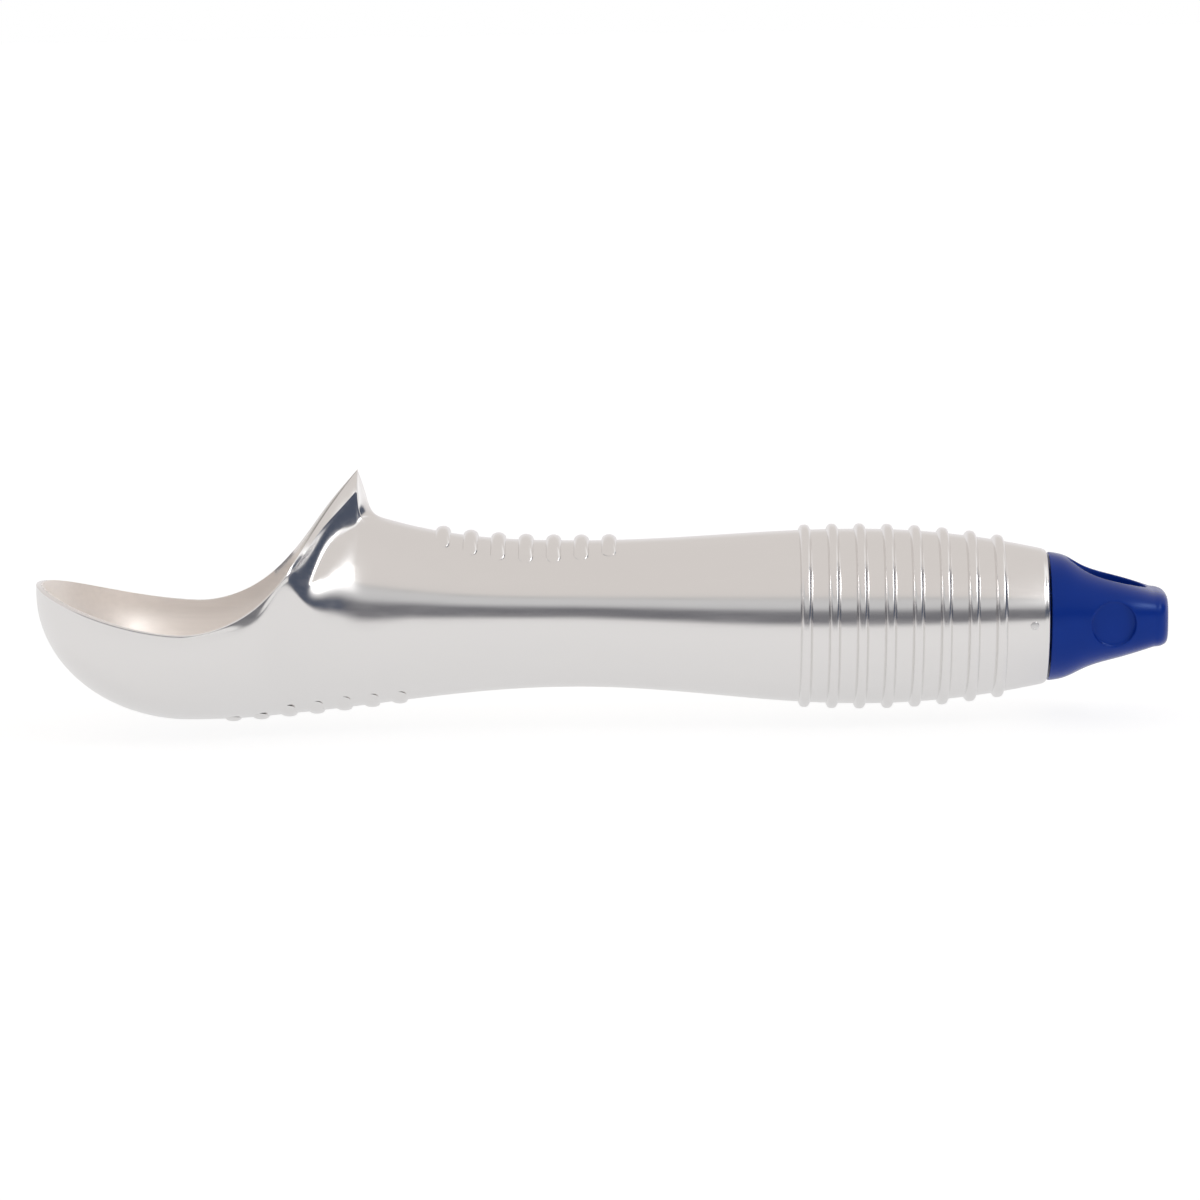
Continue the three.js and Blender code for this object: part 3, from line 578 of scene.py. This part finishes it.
class CapShape:
    """The cap's outline over the handle axis."""

    TAPER_STEPS = 30
    END_STEPS = 12

    def __init__(self, cap, collar_x):
        self.cap = cap
        self.collar_x = collar_x
        self.base_x = collar_x + cap.gap
        self.end_x = collar_x + cap.length
        self.round_x = self.end_x - cap.end_round
        self.taper = spline([(0, 0), (0.15, 0.09), (0.32, 0.34), (0.62, 0.65), (1, 1)])

    def share(self, x):
        return clamp((x - self.base_x) / (self.round_x - self.base_x))

    def half_width(self, x):
        return mix(self.cap.base_radius, self.cap.shoulder_width / 2, self.share(x) ** 3)

    def half_height(self, x):
        return mix(self.cap.base_radius, self.cap.shoulder_height / 2, float(self.taper(self.share(x))[0]))

    def power(self, x):
        return mix(2.0, self.cap.squareness, self.share(x))

    def section(self, x, half_width, half_height, count):
        power = 2.0 / self.power(x)
        points = []
        for i in range(count):
            angle = i / count * 2 * math.pi
            across, up = math.sin(angle), -math.cos(angle)
            points.append((x, half_width * math.copysign(abs(across) ** power, across),
                           half_height * math.copysign(abs(up) ** power, up)))
        return points

    def rings(self, count):
        cap = self.cap
        rings = [[(self.base_x, 0.0, 0.0)] * count]
        for i in range(self.TAPER_STEPS + 1):
            x = mix(self.base_x, self.round_x, i / self.TAPER_STEPS)
            rings.append(self.section(x, self.half_width(x), self.half_height(x), count))
        for angle in quarter(self.END_STEPS)[1:]:
            width = mix(cap.shoulder_width, cap.end_width, 1 - math.cos(angle))
            height = mix(cap.shoulder_height, cap.end_height, 1 - math.cos(angle))
            x = self.round_x + cap.end_round * math.sin(angle)
            rings.append(self.section(x, width / 2, height / 2, count))
        rings.append([(self.end_x, 0.0, 0.0)] * count)
        return rings


# Modelling steps


def only(*pieces):
    """Selects these pieces and makes the first the active one."""
    bpy.ops.object.select_all(action="DESELECT")
    for piece in pieces:
        piece.select_set(True)
    bpy.context.view_layer.objects.active = pieces[0]


def join_to(body, pieces):
    """Makes other pieces part of a body."""
    only(body, *pieces)
    bpy.ops.object.join()


def grid_piece(name, columns, axis_height):
    """A grid sheet whose points are moved to the places in columns, given over the handle axis."""
    across, along = len(columns) - 1, len(columns[0]) - 1
    bpy.ops.object.select_all(action="DESELECT")
    bpy.ops.mesh.primitive_grid_add(x_subdivisions=across, y_subdivisions=along, size=1)
    piece = bpy.context.object
    piece.name = name
    piece.data.name = name
    address = []
    for vertex in piece.data.vertices:
        column = round((vertex.co.x + 0.5) * across)
        row = round((vertex.co.y + 0.5) * along)
        address.append((column, row))
        x, y, z = columns[column][row]
        vertex.co = (x, y, z + axis_height)
    return piece, address


def cylinder(name, vertices, radius, depth, place=(0, 0, 0), turn=(0, 0, 0), scale=(1, 1, 1)):
    """A cylinder whose place, turn and scale are applied to its mesh."""
    bpy.ops.object.select_all(action="DESELECT")
    bpy.ops.mesh.primitive_cylinder_add(vertices=vertices, radius=radius, depth=depth,
                                        location=place, rotation=turn)
    piece = bpy.context.object
    piece.name = name
    piece.scale = scale
    bpy.ops.object.transform_apply(location=True, rotation=True, scale=True)
    return piece


def close_seams(piece, distance=1e-6):
    """Merges points that lie together and turns all faces outwards."""
    only(piece)
    bpy.ops.object.mode_set(mode="EDIT")
    bpy.ops.mesh.select_all(action="SELECT")
    bpy.ops.mesh.remove_doubles(threshold=distance)
    bpy.ops.mesh.dissolve_degenerate(threshold=distance)
    bpy.ops.mesh.select_all(action="SELECT")
    bpy.ops.mesh.normals_make_consistent(inside=False)
    bpy.ops.object.mode_set(mode="OBJECT")


def apply_modifier(piece, kind, **settings):
    """Adds a modifier with its settings and applies it."""
    only(piece)
    modifier = piece.modifiers.new(kind.title(), kind)
    for key, value in settings.items():
        setattr(modifier, key, value)
    bpy.ops.object.modifier_apply(modifier=modifier.name)


def apply_where(piece, weight, kind, **settings):
    """Applies a modifier by a weight that depends on the place."""
    group = piece.vertex_groups.new(name="weight")
    for vertex in piece.data.vertices:
        share = weight(vertex.co)
        if share > 0.0:
            group.add([vertex.index], share, "REPLACE")
    apply_modifier(piece, kind, vertex_group=group.name, **settings)
    piece.vertex_groups.clear()


def finish_piece(piece, node, material, smooth_degrees=40):
    """Shades a finished piece, gives it its material and puts it in the place of its CAD node."""
    only(piece)
    bpy.ops.object.shade_smooth_by_angle(angle=math.radians(smooth_degrees))
    piece.data.materials.clear()
    piece.data.materials.append(material)
    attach(piece, "root")
    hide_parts(node)


# Shader nodes


class Nodes:
    """Short ways to add nodes to a shader tree. A value may be a number, a colour or a node's output."""

    def __init__(self, tree):
        self.tree = tree

    def set(self, node, values):
        """Sets or joins a node's inputs, by their labels or numbers."""
        for label, value in values.items():
            if isinstance(value, bpy.types.NodeSocket):
                self.tree.links.new(value, node.inputs[label])
            else:
                node.inputs[label].default_value = value

    def add(self, kind, values, **settings):
        node = self.tree.nodes.new("ShaderNode" + kind)
        for name, value in settings.items():
            setattr(node, name, value)
        self.set(node, values)
        return node

    def ranged(self, source, low, high, start, stop, **settings):
        """A value between low and high as the source goes from start to stop."""
        values = {"Value": source, "From Min": start, "From Max": stop, "To Min": low, "To Max": high}
        return self.add("MapRange", values, **settings).outputs["Result"]

    def blend(self, share, first, second):
        """A mix of two colours."""
        return self.add("Mix", {0: share, 6: first, 7: second}, data_type="RGBA").outputs[2]

    def blend_values(self, share, first, second):
        return self.add("Mix", {0: share, 2: first, 3: second}, data_type="FLOAT").outputs[0]

    def math(self, operation, first, second):
        return self.add("Math", {0: first, 1: second}, operation=operation).outputs["Value"]


# Finishes


def fine_marks():
    """Group of fine marks: streaks along the handle, soft waves, and speckles, each from 0 to 1."""
    name = "Fine marks"
    if name in bpy.data.node_groups:
        return bpy.data.node_groups[name]
    group = bpy.data.node_groups.new(name, "ShaderNodeTree")
    defaults = {"Streak length": 60.0, "Streak fineness": 2200.0, "Wave scale": 90.0, "Speckle scale": 900.0}
    for label, default in defaults.items():
        socket = group.interface.new_socket(label, in_out="INPUT", socket_type="NodeSocketFloat")
        socket.default_value = default
    for label in ("Streaks", "Waves", "Speckles"):
        group.interface.new_socket(label, in_out="OUTPUT", socket_type="NodeSocketFloat")
    nodes = Nodes(group)
    start = group.nodes.new("NodeGroupInput").outputs
    end = group.nodes.new("NodeGroupOutput")
    place = nodes.add("TexCoord", {}).outputs["Object"]
    fineness = start["Streak fineness"]
    stretch = nodes.add("CombineXYZ", {"X": start["Streak length"], "Y": fineness, "Z": fineness})
    scaled = nodes.add("VectorMath", {0: place, 1: stretch.outputs["Vector"]}, operation="MULTIPLY")
    noises = {
        "Streaks": {"Vector": scaled.outputs["Vector"], "Scale": 1.0, "Detail": 3.0},
        "Waves": {"Vector": place, "Scale": start["Wave scale"], "Detail": 1.0},
        "Speckles": {"Vector": place, "Scale": start["Speckle scale"], "Detail": 2.0},
    }
    for label, values in noises.items():
        nodes.set(end, {label: nodes.add("TexNoise", values).outputs["Fac"]})
    return group


class Finish(Nodes):
    """A material under construction: its Principled shader and its marks."""

    MARK_RANGE = (0.3, 0.7)

    def __init__(self, name, marks):
        self.material = bpy.data.materials.new(name)
        self.material.use_nodes = True
        super().__init__(self.material.node_tree)
        self.shader = self.tree.nodes["Principled BSDF"]
        self.marks = self.add("Group", marks, node_tree=fine_marks()).outputs

    def shade(self, values):
        self.set(self.shader, values)

    def attribute(self, name):
        return self.add("Attribute", {}, attribute_name=name).outputs["Fac"]

    def toned(self, mark, rgb, low, high):
        """A colour that turns darker and lighter with a mark, by two factors."""
        return self.blend(self.marks[mark], opaque(rgb, low), opaque(rgb, high))

    def varied(self, mark, low, high):
        """A value that follows a mark."""
        return self.ranged(self.marks[mark], low, high, *self.MARK_RANGE)

    def bump(self, height, strength, depth):
        node = self.add("Bump", {"Strength": strength, "Distance": depth, "Height": height})
        self.shade({"Normal": node.outputs["Normal"]})


def opaque(rgb, factor=1.0):
    return (rgb[0] * factor, rgb[1] * factor, rgb[2] * factor, 1.0)


def cast_metal(colours):
    """Polished outside with faint streaks, satin inside of the bowl, and painted shade just inside the heel's
    edge.
    """
    finish = Finish("polished_aluminium", {"Wave scale": 110.0, "Streak fineness": 1500.0})
    inside = finish.attribute("bowl_inside")
    outer = finish.toned("Streaks", colours.metal, 0.985, 1.015)
    inner = finish.toned("Streaks", colours.bowl, 0.94, 1.05)
    # Painted shade: heel_shade darkens the inside of the bowl just under the heel's edge
    inner = finish.blend(finish.attribute("heel_shade"), inner, opaque(colours.bowl, 0.3))
    rough_out = finish.varied("Streaks", 0.14, 0.19)
    rough_in = finish.varied("Streaks", 0.34, 0.44)
    finish.shade({
        "Base Color": finish.blend(inside, outer, inner),
        "Metallic": finish.ranged(inside, 1.0, 0.34, 0.0, 1.0),
        "Roughness": finish.blend_values(inside, rough_out, rough_in),
    })
    scratches = finish.math("MULTIPLY", finish.marks["Streaks"], 0.025)
    finish.bump(finish.math("ADD", finish.marks["Waves"], scratches), 0.35, 0.05 * MM)
    return finish.material


def even_finish(name, rgb, marks, tone, rough):
    """A finish of one colour. Its tone and roughness follow marks, each given as (mark, least, most)."""
    finish = Finish(name, marks)
    mark, dark, light = tone
    finish.shade({"Base Color": finish.toned(mark, rgb, dark, light), "Roughness": finish.varied(*rough)})
    return finish


def cap_plastic(colours):
    """Semi-gloss moulded blue plastic."""
    finish = even_finish("blue_plastic", colours.plastic, {"Wave scale": 260.0, "Speckle scale": 2600.0},
                         ("Waves", 0.93, 1.07), ("Speckles", 0.20, 0.27))
    finish.shade({"Specular IOR Level": 0.4, "Specular Tint": (0.35, 0.55, 1.0, 1.0)})
    grain = finish.math("MULTIPLY", finish.marks["Speckles"], 0.15)
    finish.bump(finish.math("ADD", finish.marks["Waves"], grain), 0.25, 0.03 * MM)
    return finish.material


def plain_metal(name, rgb):
    """Turned metal with fine marks, for the plug and the pin."""
    finish = even_finish(name, rgb, {"Streak length": 900.0, "Streak fineness": 900.0},
                         ("Speckles", 0.9, 1.05), ("Streaks", 0.22, 0.36))
    finish.shade({"Metallic": 1.0})
    finish.bump(finish.marks["Speckles"], 0.2, 0.02 * MM)
    return finish.material


def seal_rubber(colours):
    finish = even_finish("seal_rubber", colours.rubber, {"Speckle scale": 1500.0},
                         ("Speckles", 0.8, 1.6), ("Speckles", 0.6, 0.78))
    finish.bump(finish.marks["Speckles"], 0.3, 0.02 * MM)
    return finish.material


def liquid_finish(colours):
    finish = even_finish("heat_fluid", colours.liquid, {"Wave scale": 40.0},
                         ("Waves", 0.96, 1.04), ("Waves", 0.06, 0.12))
    return finish.material


# Operators


def casting_shape(scene):
    return CastingShape(scene.scoop_bowl, scene.scoop_handle, scene.scoop_cap.length)


class SCOOP_OT_casting(bpy.types.Operator):
    """Model the one-piece casting: bowl, heel, neck and hollow handle with its rings and nubs"""

    bl_idname = "scoop.casting"
    bl_label = "Casting"

    def execute(self, context):
        scene = context.scene
        handle = scene.scoop_handle
        shape = casting_shape(scene)
        halves = shape.stations()
        rings = [half + [(x, -y, z) for x, y, z in half[-2::-1]] for half in halves]
        body, body_address = grid_piece("casting_body", rings, handle.axis_height)
        turns = [i / shape.NOSE_STEPS * math.pi for i in range(shape.NOSE_STEPS + 1)]
        nose_columns = [shape.nose_section(turn, halves[0]) for turn in turns]
        nose, nose_address = grid_piece("casting_nose", nose_columns, handle.axis_height)
        last = len(halves[0]) - 1
        self.mark(body, [(column, min(row, 2 * last - row)) for column, row in body_address], shape)
        self.mark(nose, [(0, row) for _, row in nose_address], shape)
        join_to(body, [nose])
        body.name = "casting"
        close_seams(body)
        self.round_rim(body, scene.scoop_bowl.edge_round)
        self.soften_foot(body, shape, handle.axis_height)
        self.raise_rings(body, shape, handle)
        join_to(body, self.nub_rows(shape, handle))
        finish_piece(body, "scoop_casting", cast_metal(scene.scoop_colours), 38)
        return {"FINISHED"}

    def mark(self, piece, address, shape):
        """Marks the inside of the bowl for its finish and painted shade, and the two edges of the rim for
        their rounding.
        """
        inside = piece.data.attributes.new("bowl_inside", "FLOAT", "POINT")
        shade = piece.data.attributes.new("heel_shade", "FLOAT", "POINT")
        line = piece.data.attributes.new("rim_line", "INT", "POINT")
        crest = shape.HEEL_STEPS
        corner_end = crest + 24
        bare_edge_from = 0.45 * crest
        dark_from, dark_run = 0.58, 0.17
        for i, (column, row) in enumerate(address):
            ahead = column <= crest
            first = shape.edge_index + (1 if column > bare_edge_from else 0)
            inside.data[i].value = 1.0 if ahead and row >= first else 0.0
            depth = (row - shape.edge_index) / shape.INSIDE_STEPS
            # heel_shade is painted shade: the bowl's inside darkens near the rim towards the heel
            if ahead and depth > 0:
                shade.data[i].value = ease((column / crest - dark_from) / dark_run) * ease(1 - 2.5 * depth)
            if row == shape.edge_index and ahead:
                line.data[i].value = 1
            if row == shape.corner_index and column <= corner_end:
                line.data[i].value = 2

    def round_rim(self, piece, width):
        """Rounds the rim's inner and outer edges."""
        only(piece)
        bpy.ops.object.mode_set(mode="EDIT")
        bpy.ops.mesh.select_all(action="DESELECT")
        bpy.ops.mesh.select_mode(type="EDGE")
        mesh = bmesh.from_edit_mesh(piece.data)
        line = mesh.verts.layers.int["rim_line"]
        for edge in mesh.edges:
            first, second = (vertex[line] for vertex in edge.verts)
            edge.select = first > 0 and first == second
        mesh.select_flush_mode()
        bmesh.update_edit_mesh(piece.data)
        bpy.ops.mesh.bevel(offset=width, segments=3, affect="EDGES", clamp_overlap=True)
        bpy.ops.object.mode_set(mode="OBJECT")

    def soften_foot(self, piece, shape, height):
        """Rounds the hollow where the back of the heel runs out into the neck."""
        low, high, fade = 11 * MM, 20 * MM, 2 * MM
        half_width = 9 * MM

        def weight(place):
            along = (place.x - shape.crest_x) / shape.FIN_LENGTH
            up = place.z - height
            if up < low or up > high:
                return 0.0
            ends = ease((along + 0.02) / 0.12) * ease((1.2 - along) / 0.2)
            sides = ease((half_width - abs(place.y)) / fade)
            return ends * sides * ease((high - up) / fade) * ease((up - low) / fade)

        apply_where(piece, weight, "SMOOTH", factor=0.5, iterations=36)

    def raise_rings(self, piece, shape, handle):
        def weight(place):
            out = math.hypot(place.y, place.z - handle.axis_height)
            if place.x < shape.waist_x or out < handle.collar_radius - handle.collar_round:
                return 0.0
            return max(1.0 - shape.ring_share(place.x) ** 3.2, 0.0)

        apply_where(piece, weight, "DISPLACE", strength=handle.ring_height, mid_level=0.0, direction="NORMAL")

    def nub_rows(self, shape, handle):
        """Both rows of nubs: round-ended bars laid across the casting."""
        rows = [
            (shape.crest_x + handle.thumb_start, handle.thumb_span, handle.thumb_height, shape.upper_oval),
            (shape.tip_x + handle.finger_start, handle.finger_span, handle.finger_height, shape.lower_oval),
        ]
        bars = []
        for i in range(handle.nub_count):
            from_middle = 2 * i / (handle.nub_count - 1) - 1
            loss = handle.span_loss * from_middle ** 2
            for start, span, height, oval in rows:
                x = start + i * handle.nub_pitch
                bars.append(self.nub(x, span - loss, height, oval(x), handle))
        return bars

    def nub(self, x, span, height, oval, handle):
        """A bar with a half-round back and round ends, bent over an oval of the casting."""
        half, centre, crown = oval
        radius = handle.nub_radius
        end_steps, middle_steps, around_steps = 8, 24, 24
        places = []
        for angle in quarter(end_steps)[:-1]:
            places.append((-(span - radius) - radius * math.cos(angle), math.sin(angle)))
        for i in range(middle_steps + 1):
            places.append((mix(-(span - radius), span - radius, i / middle_steps), 1.0))
        places += [(-y, wide) for y, wide in places[end_steps - 1::-1]]
        columns = []
        for j in range(around_steps + 1):
            turn = 2 * math.pi * (j % around_steps) / around_steps
            column = []
            for y, wide in places:
                across = y / half
                up = math.sqrt(1 - across ** 2)
                normal = Vector((across / half, up / (crown - centre))).normalized()
                tall = math.sin(min((span - abs(y)) / handle.nub_fade, 1.0) * math.pi / 2)
                out = height * tall * math.sin(turn)
                column.append((x + radius * wide * math.cos(turn), y + normal.x * out,
                               centre + (crown - centre) * up + normal.y * out))
            columns.append(column)
        bar, _ = grid_piece("nub", columns, handle.axis_height)
        close_seams(bar)
        return bar


class SCOOP_OT_end_cap(bpy.types.Operator):
    """Model the moulded end cap with its hang hole, its bare round recess and its spigot"""

    bl_idname = "scoop.end_cap"
    bl_label = "End cap"

    def execute(self, context):
        scene = context.scene
        cap = scene.scoop_cap
        height = scene.scoop_handle.axis_height
        shape = CapShape(cap, casting_shape(scene).collar_x)
        rings = [ring + ring[:1] for ring in shape.rings(96)]
        body, _ = grid_piece("cap", rings, height)
        close_seams(body)
        for cutter in (self.hole_cutter(shape, height), self.disc_cutter(shape, height)):
            apply_modifier(body, "BOOLEAN", object=cutter, operation="DIFFERENCE", solver="EXACT")
            bpy.data.objects.remove(cutter)
        apply_modifier(body, "REMESH", mode="VOXEL", voxel_size=cap.grain, use_smooth_shade=True)
        apply_modifier(body, "SMOOTH", factor=0.5, iterations=9)
        join_to(body, [self.spigot(shape, height)])
        finish_piece(body, "end_cap", cap_plastic(scene.scoop_colours))
        return {"FINISHED"}

    def hole_cutter(self, shape, height):
        cap = shape.cap
        start, end = shape.collar_x + cap.hole_from_collar, shape.end_x - cap.hole_from_end
        return cylinder("hole_cutter", 128, 0.5, 4 * cap.base_radius, place=((start + end) / 2, 0, height),
                        scale=(end - start, cap.hole_width, 1))

    def disc_cutter(self, shape, height):
        """A cylinder that leans with the side of the tab and reaches a little out of it."""
        cap = shape.cap
        x = shape.collar_x + cap.disc_from_collar
        power = shape.power(x)
        edge = (1 - (cap.disc_radius / shape.half_height(x)) ** power) ** (1 / power)
        depth = shape.half_width(x) * (1 - edge) + cap.disc_depth
        taper = shape.half_width(x - cap.disc_radius) - shape.half_width(x + cap.disc_radius)
        lean = math.atan2(taper, 2 * cap.disc_radius)
        outside = 2 * MM
        cutter = cylinder("disc_cutter", 96, cap.disc_radius, depth + outside)
        for vertex in cutter.data.vertices:
            across, along, up = vertex.co.x, vertex.co.z + (depth - outside) / 2, vertex.co.y
            vertex.co = (x + across * math.cos(lean) - along * math.sin(lean),
                         -shape.half_width(x) + across * math.sin(lean) + along * math.cos(lean), height + up)
        close_seams(cutter)
        return cutter

    def spigot(self, shape, height):
        cap = shape.cap
        start = shape.collar_x - cap.spigot_length
        end = shape.base_x + 1 * MM
        spigot = cylinder("spigot", 64, cap.spigot_radius, end - start, place=((start + end) / 2, 0, height),
                          turn=(0, math.pi / 2, 0))
        apply_modifier(spigot, "BEVEL", width=0.4 * MM, segments=3, limit_method="ANGLE")
        return spigot


class SCOOP_OT_cap_pin(bpy.types.Operator):
    """Model the cross pin that keeps the cap in the collar"""

    bl_idname = "scoop.cap_pin"
    bl_label = "Cap pin"

    def execute(self, context):
        scene = context.scene
        cap = scene.scoop_cap
        height = scene.scoop_handle.axis_height
        shape = casting_shape(scene)
        x = shape.collar_x - cap.pin_from_collar
        pin = cylinder("pin", 48, cap.pin_radius, 2 * shape.handle_radius(x), place=(x, 0, height),
                       turn=(math.pi / 2, 0, 0))
        for vertex in pin.data.vertices:
            up = vertex.co.z - height
            reach = math.sqrt(shape.handle_radius(vertex.co.x) ** 2 - up ** 2) + cap.pin_proud
            vertex.co.y = math.copysign(reach, vertex.co.y)
        apply_modifier(pin, "BEVEL", width=0.1 * MM, segments=3, limit_method="ANGLE")
        finish_piece(pin, "cap_pin", plain_metal("pin_steel", scene.scoop_colours.steel))
        return {"FINISHED"}


class SCOOP_OT_inner_pieces(bpy.types.Operator):
    """Finish the pieces inside the handle: the liquid, the plug and its seal ring"""

    bl_idname = "scoop.inner_pieces"
    bl_label = "Inner pieces"

    def execute(self, context):
        colours = context.scene.scoop_colours
        finishes = {
            "heat_fluid": liquid_finish(colours),
            "seal_plug": plain_metal("plug_aluminium", colours.metal),
            "seal_ring": seal_rubber(colours),
        }
        for node, material in finishes.items():
            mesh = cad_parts[node].data
            mesh.materials.clear()
            mesh.materials.append(material)
        return {"FINISHED"}


class StudioLight(Nodes):
    """The colours of the studio by direction: along the handle, away from the camera and up."""

    def __init__(self, tree):
        super().__init__(tree)
        direction = self.add("TexCoord", {}).outputs["Generated"]
        parts = self.add("SeparateXYZ", {"Vector": direction}).outputs
        self.sides = {"along": parts["X"], "away": parts["Y"], "up": parts["Z"]}

    def ramp(self, stops):
        """Colours by height: stops are (elevation in degrees, colour)."""
        share = self.ranged(self.sides["up"], 0.0, 1.0, -1.0, 1.0)
        node = self.add("ValToRGB", {"Fac": share})
        elements = node.color_ramp.elements
        while len(elements) < len(stops):
            elements.new(1.0)
        for element, (elevation, rgb) in zip(elements, stops):
            element.position = (math.sin(math.radians(elevation)) + 1) / 2
            element.color = (*rgb, 1.0)
        return node.outputs["Color"]

    def step(self, side, none, full):
        """A soft step from 0 to 1 between two values of a side."""
        low, high = (0.0, 1.0) if none < full else (1.0, 0.0)
        return self.ranged(self.sides[side], low, high, min(none, full), max(none, full),
                           interpolation_type="SMOOTHSTEP")

    def region(self, steps):
        """A soft-edged part of the studio: the product of soft steps."""
        product = self.step(*steps[0])
        for step in steps[1:]:
            product = self.math("MULTIPLY", product, self.step(*step))
        return product


class SCOOP_OT_stage(bpy.types.Operator):
    """Set up the floor, the soft studio light and the camera"""

    bl_idname = "scoop.stage"
    bl_label = "Stage"

    def execute(self, context):
        scene = context.scene
        studio = scene.scoop_studio
        scene.view_settings.view_transform = "Standard"
        self.floor(studio)
        self.world(scene, studio)
        self.camera(scene, studio)
        return {"FINISHED"}

    def floor(self, studio):
        bpy.ops.object.select_all(action="DESELECT")
        bpy.ops.mesh.primitive_plane_add(size=6, rotation=(0, studio.floor_tilt, 0),
                                         location=(0, 0, -0.9 * MM))
        floor = bpy.context.object
        floor.name = "floor"
        material = bpy.data.materials.new("pale_floor")
        material.use_nodes = True
        nodes = Nodes(material.node_tree)
        nodes.tree.nodes.clear()
        seen = nodes.add("LightPath", {}).outputs["Is Camera Ray"]
        matt = nodes.add("BsdfDiffuse", {"Color": (0.30, 0.30, 0.30, 1)})
        glow = nodes.add("Emission", {"Strength": nodes.ranged(seen, 0.6, 0.81, 0.0, 1.0)})
        both = nodes.add("AddShader", {0: matt.outputs["BSDF"], 1: glow.outputs["Emission"]})
        nodes.add("OutputMaterial", {"Surface": both.outputs["Shader"]})
        floor.data.materials.append(material)

    def world(self, scene, studio):
        world = bpy.data.worlds.new("studio")
        scene.world = world
        world.use_nodes = True
        light = StudioLight(world.node_tree)
        ceiling, surround, flag = tuple(studio.ceiling), tuple(studio.surround), tuple(studio.flag)
        dark, grey, pale = (0.17, 0.17, 0.185), (0.46, 0.46, 0.46), (0.64, 0.64, 0.645)
        front = light.ramp([
            (-90, surround), (-1, surround), (4, dark), (16, dark), (21.5, pale), (30.5, pale), (33, grey),
            (35.5, ceiling), (90, ceiling),
        ])
        back = light.ramp([(-90, surround), (10, surround), (30, ceiling), (90, ceiling)])
        room = light.blend(light.step("away", -0.35, 0.05), front, back)
        white, soft_box, lamp = (1.1, 1.1, 1.1), (1.6, 1.6, 1.6), (10.0, 10.0, 10.0)
        toward_camera = ("away", -0.10, -0.30)
        screen_foot = ("up", 0.05, 0.11)
        # Lights and dark screens: their colour, then their soft edges as (side, where it is 0, where it is 1)
        patches = [
            (white, [("along", 0.38, 0.66), ("up", 0.68, 0.76)]),
            (white, [("along", 0.45, 0.65), ("away", 0.05, 0.20), ("up", 0.20, 0.05)]),
            (soft_box, [("along", 0.36, 0.70), ("along", 0.86, 0.74), toward_camera, ("up", 0.38, 0.46),
                        ("up", 0.78, 0.62)]),
            (lamp, [("along", 0.53, 0.63), ("along", 0.71, 0.61), toward_camera, ("up", 0.52, 0.60),
                    ("up", 0.80, 0.72)]),
            (flag, [("along", 0.80, 0.90), ("away", 0.40, 0.28), screen_foot, ("up", 0.72, 0.66)]),
            (flag, [("along", 0.50, 0.66), ("away", 0.40, 0.28), screen_foot, ("up", 0.30, 0.24)]),
            (flag, [("along", 0.60, 0.72), ("away", -0.30, -0.20), ("away", 0.16, 0.08), screen_foot,
                    ("up", 0.74, 0.66)]),
        ]
        for rgb, edges in patches:
            room = light.blend(light.region(edges), room, (*rgb, 1.0))
        seen = light.add("LightPath", {}).outputs["Is Camera Ray"]
        background = world.node_tree.nodes["Background"]
        light.set(background, {"Color": light.blend(seen, room, (1.0, 1.0, 1.0, 1.0))})

    def camera(self, scene, studio):
        aim = Vector((studio.aim_x, 0, studio.aim_z))
        back = Vector((0, -math.cos(studio.elevation), math.sin(studio.elevation)))
        data = bpy.data.cameras.new("camera")
        data.angle = studio.view_angle
        camera = bpy.data.objects.new("camera", data)
        scene.collection.objects.link(camera)
        camera.location = aim + back * studio.distance
        camera.rotation_mode = "QUATERNION"
        camera.rotation_quaternion = (-back).to_track_quat("-Z", "Y")
        scene.camera = camera


class SCOOP_PT_panel(bpy.types.Panel):
    """Sizes, colours and building steps of the scoop"""

    bl_label = "Scoop"
    bl_idname = "SCOOP_PT_panel"
    bl_space_type = "VIEW_3D"
    bl_region_type = "UI"
    bl_category = "Scoop"

    def draw(self, context):
        for group in PROPERTY_GROUPS:
            box = self.layout.box()
            box.label(text=group)
            settings = getattr(context.scene, group)
            for name in settings.bl_rna.properties.keys():
                if name not in ("rna_type", "name"):
                    box.prop(settings, name)
        for operator in OPERATORS:
            self.layout.operator(operator.bl_idname)


PROPERTY_GROUPS = {
    "scoop_bowl": BowlSizes,
    "scoop_handle": HandleSizes,
    "scoop_cap": CapSizes,
    "scoop_colours": FinishColours,
    "scoop_studio": StudioSettings,
}
OPERATORS = (SCOOP_OT_casting, SCOOP_OT_end_cap, SCOOP_OT_cap_pin, SCOOP_OT_inner_pieces, SCOOP_OT_stage)
CLASSES = (*PROPERTY_GROUPS.values(), *OPERATORS, SCOOP_PT_panel)


def register():
    for item in CLASSES:
        bpy.utils.register_class(item)
    for name, group in PROPERTY_GROUPS.items():
        setattr(bpy.types.Scene, name, PointerProperty(type=group))


def unregister():
    for name in PROPERTY_GROUPS:
        delattr(bpy.types.Scene, name)
    for item in reversed(CLASSES):
        bpy.utils.unregister_class(item)


def main():
    register()
    bpy.ops.scoop.casting()
    bpy.ops.scoop.end_cap()
    bpy.ops.scoop.cap_pin()
    bpy.ops.scoop.inner_pieces()
    bpy.ops.scoop.stage()


if __name__ == "__main__":
    main()
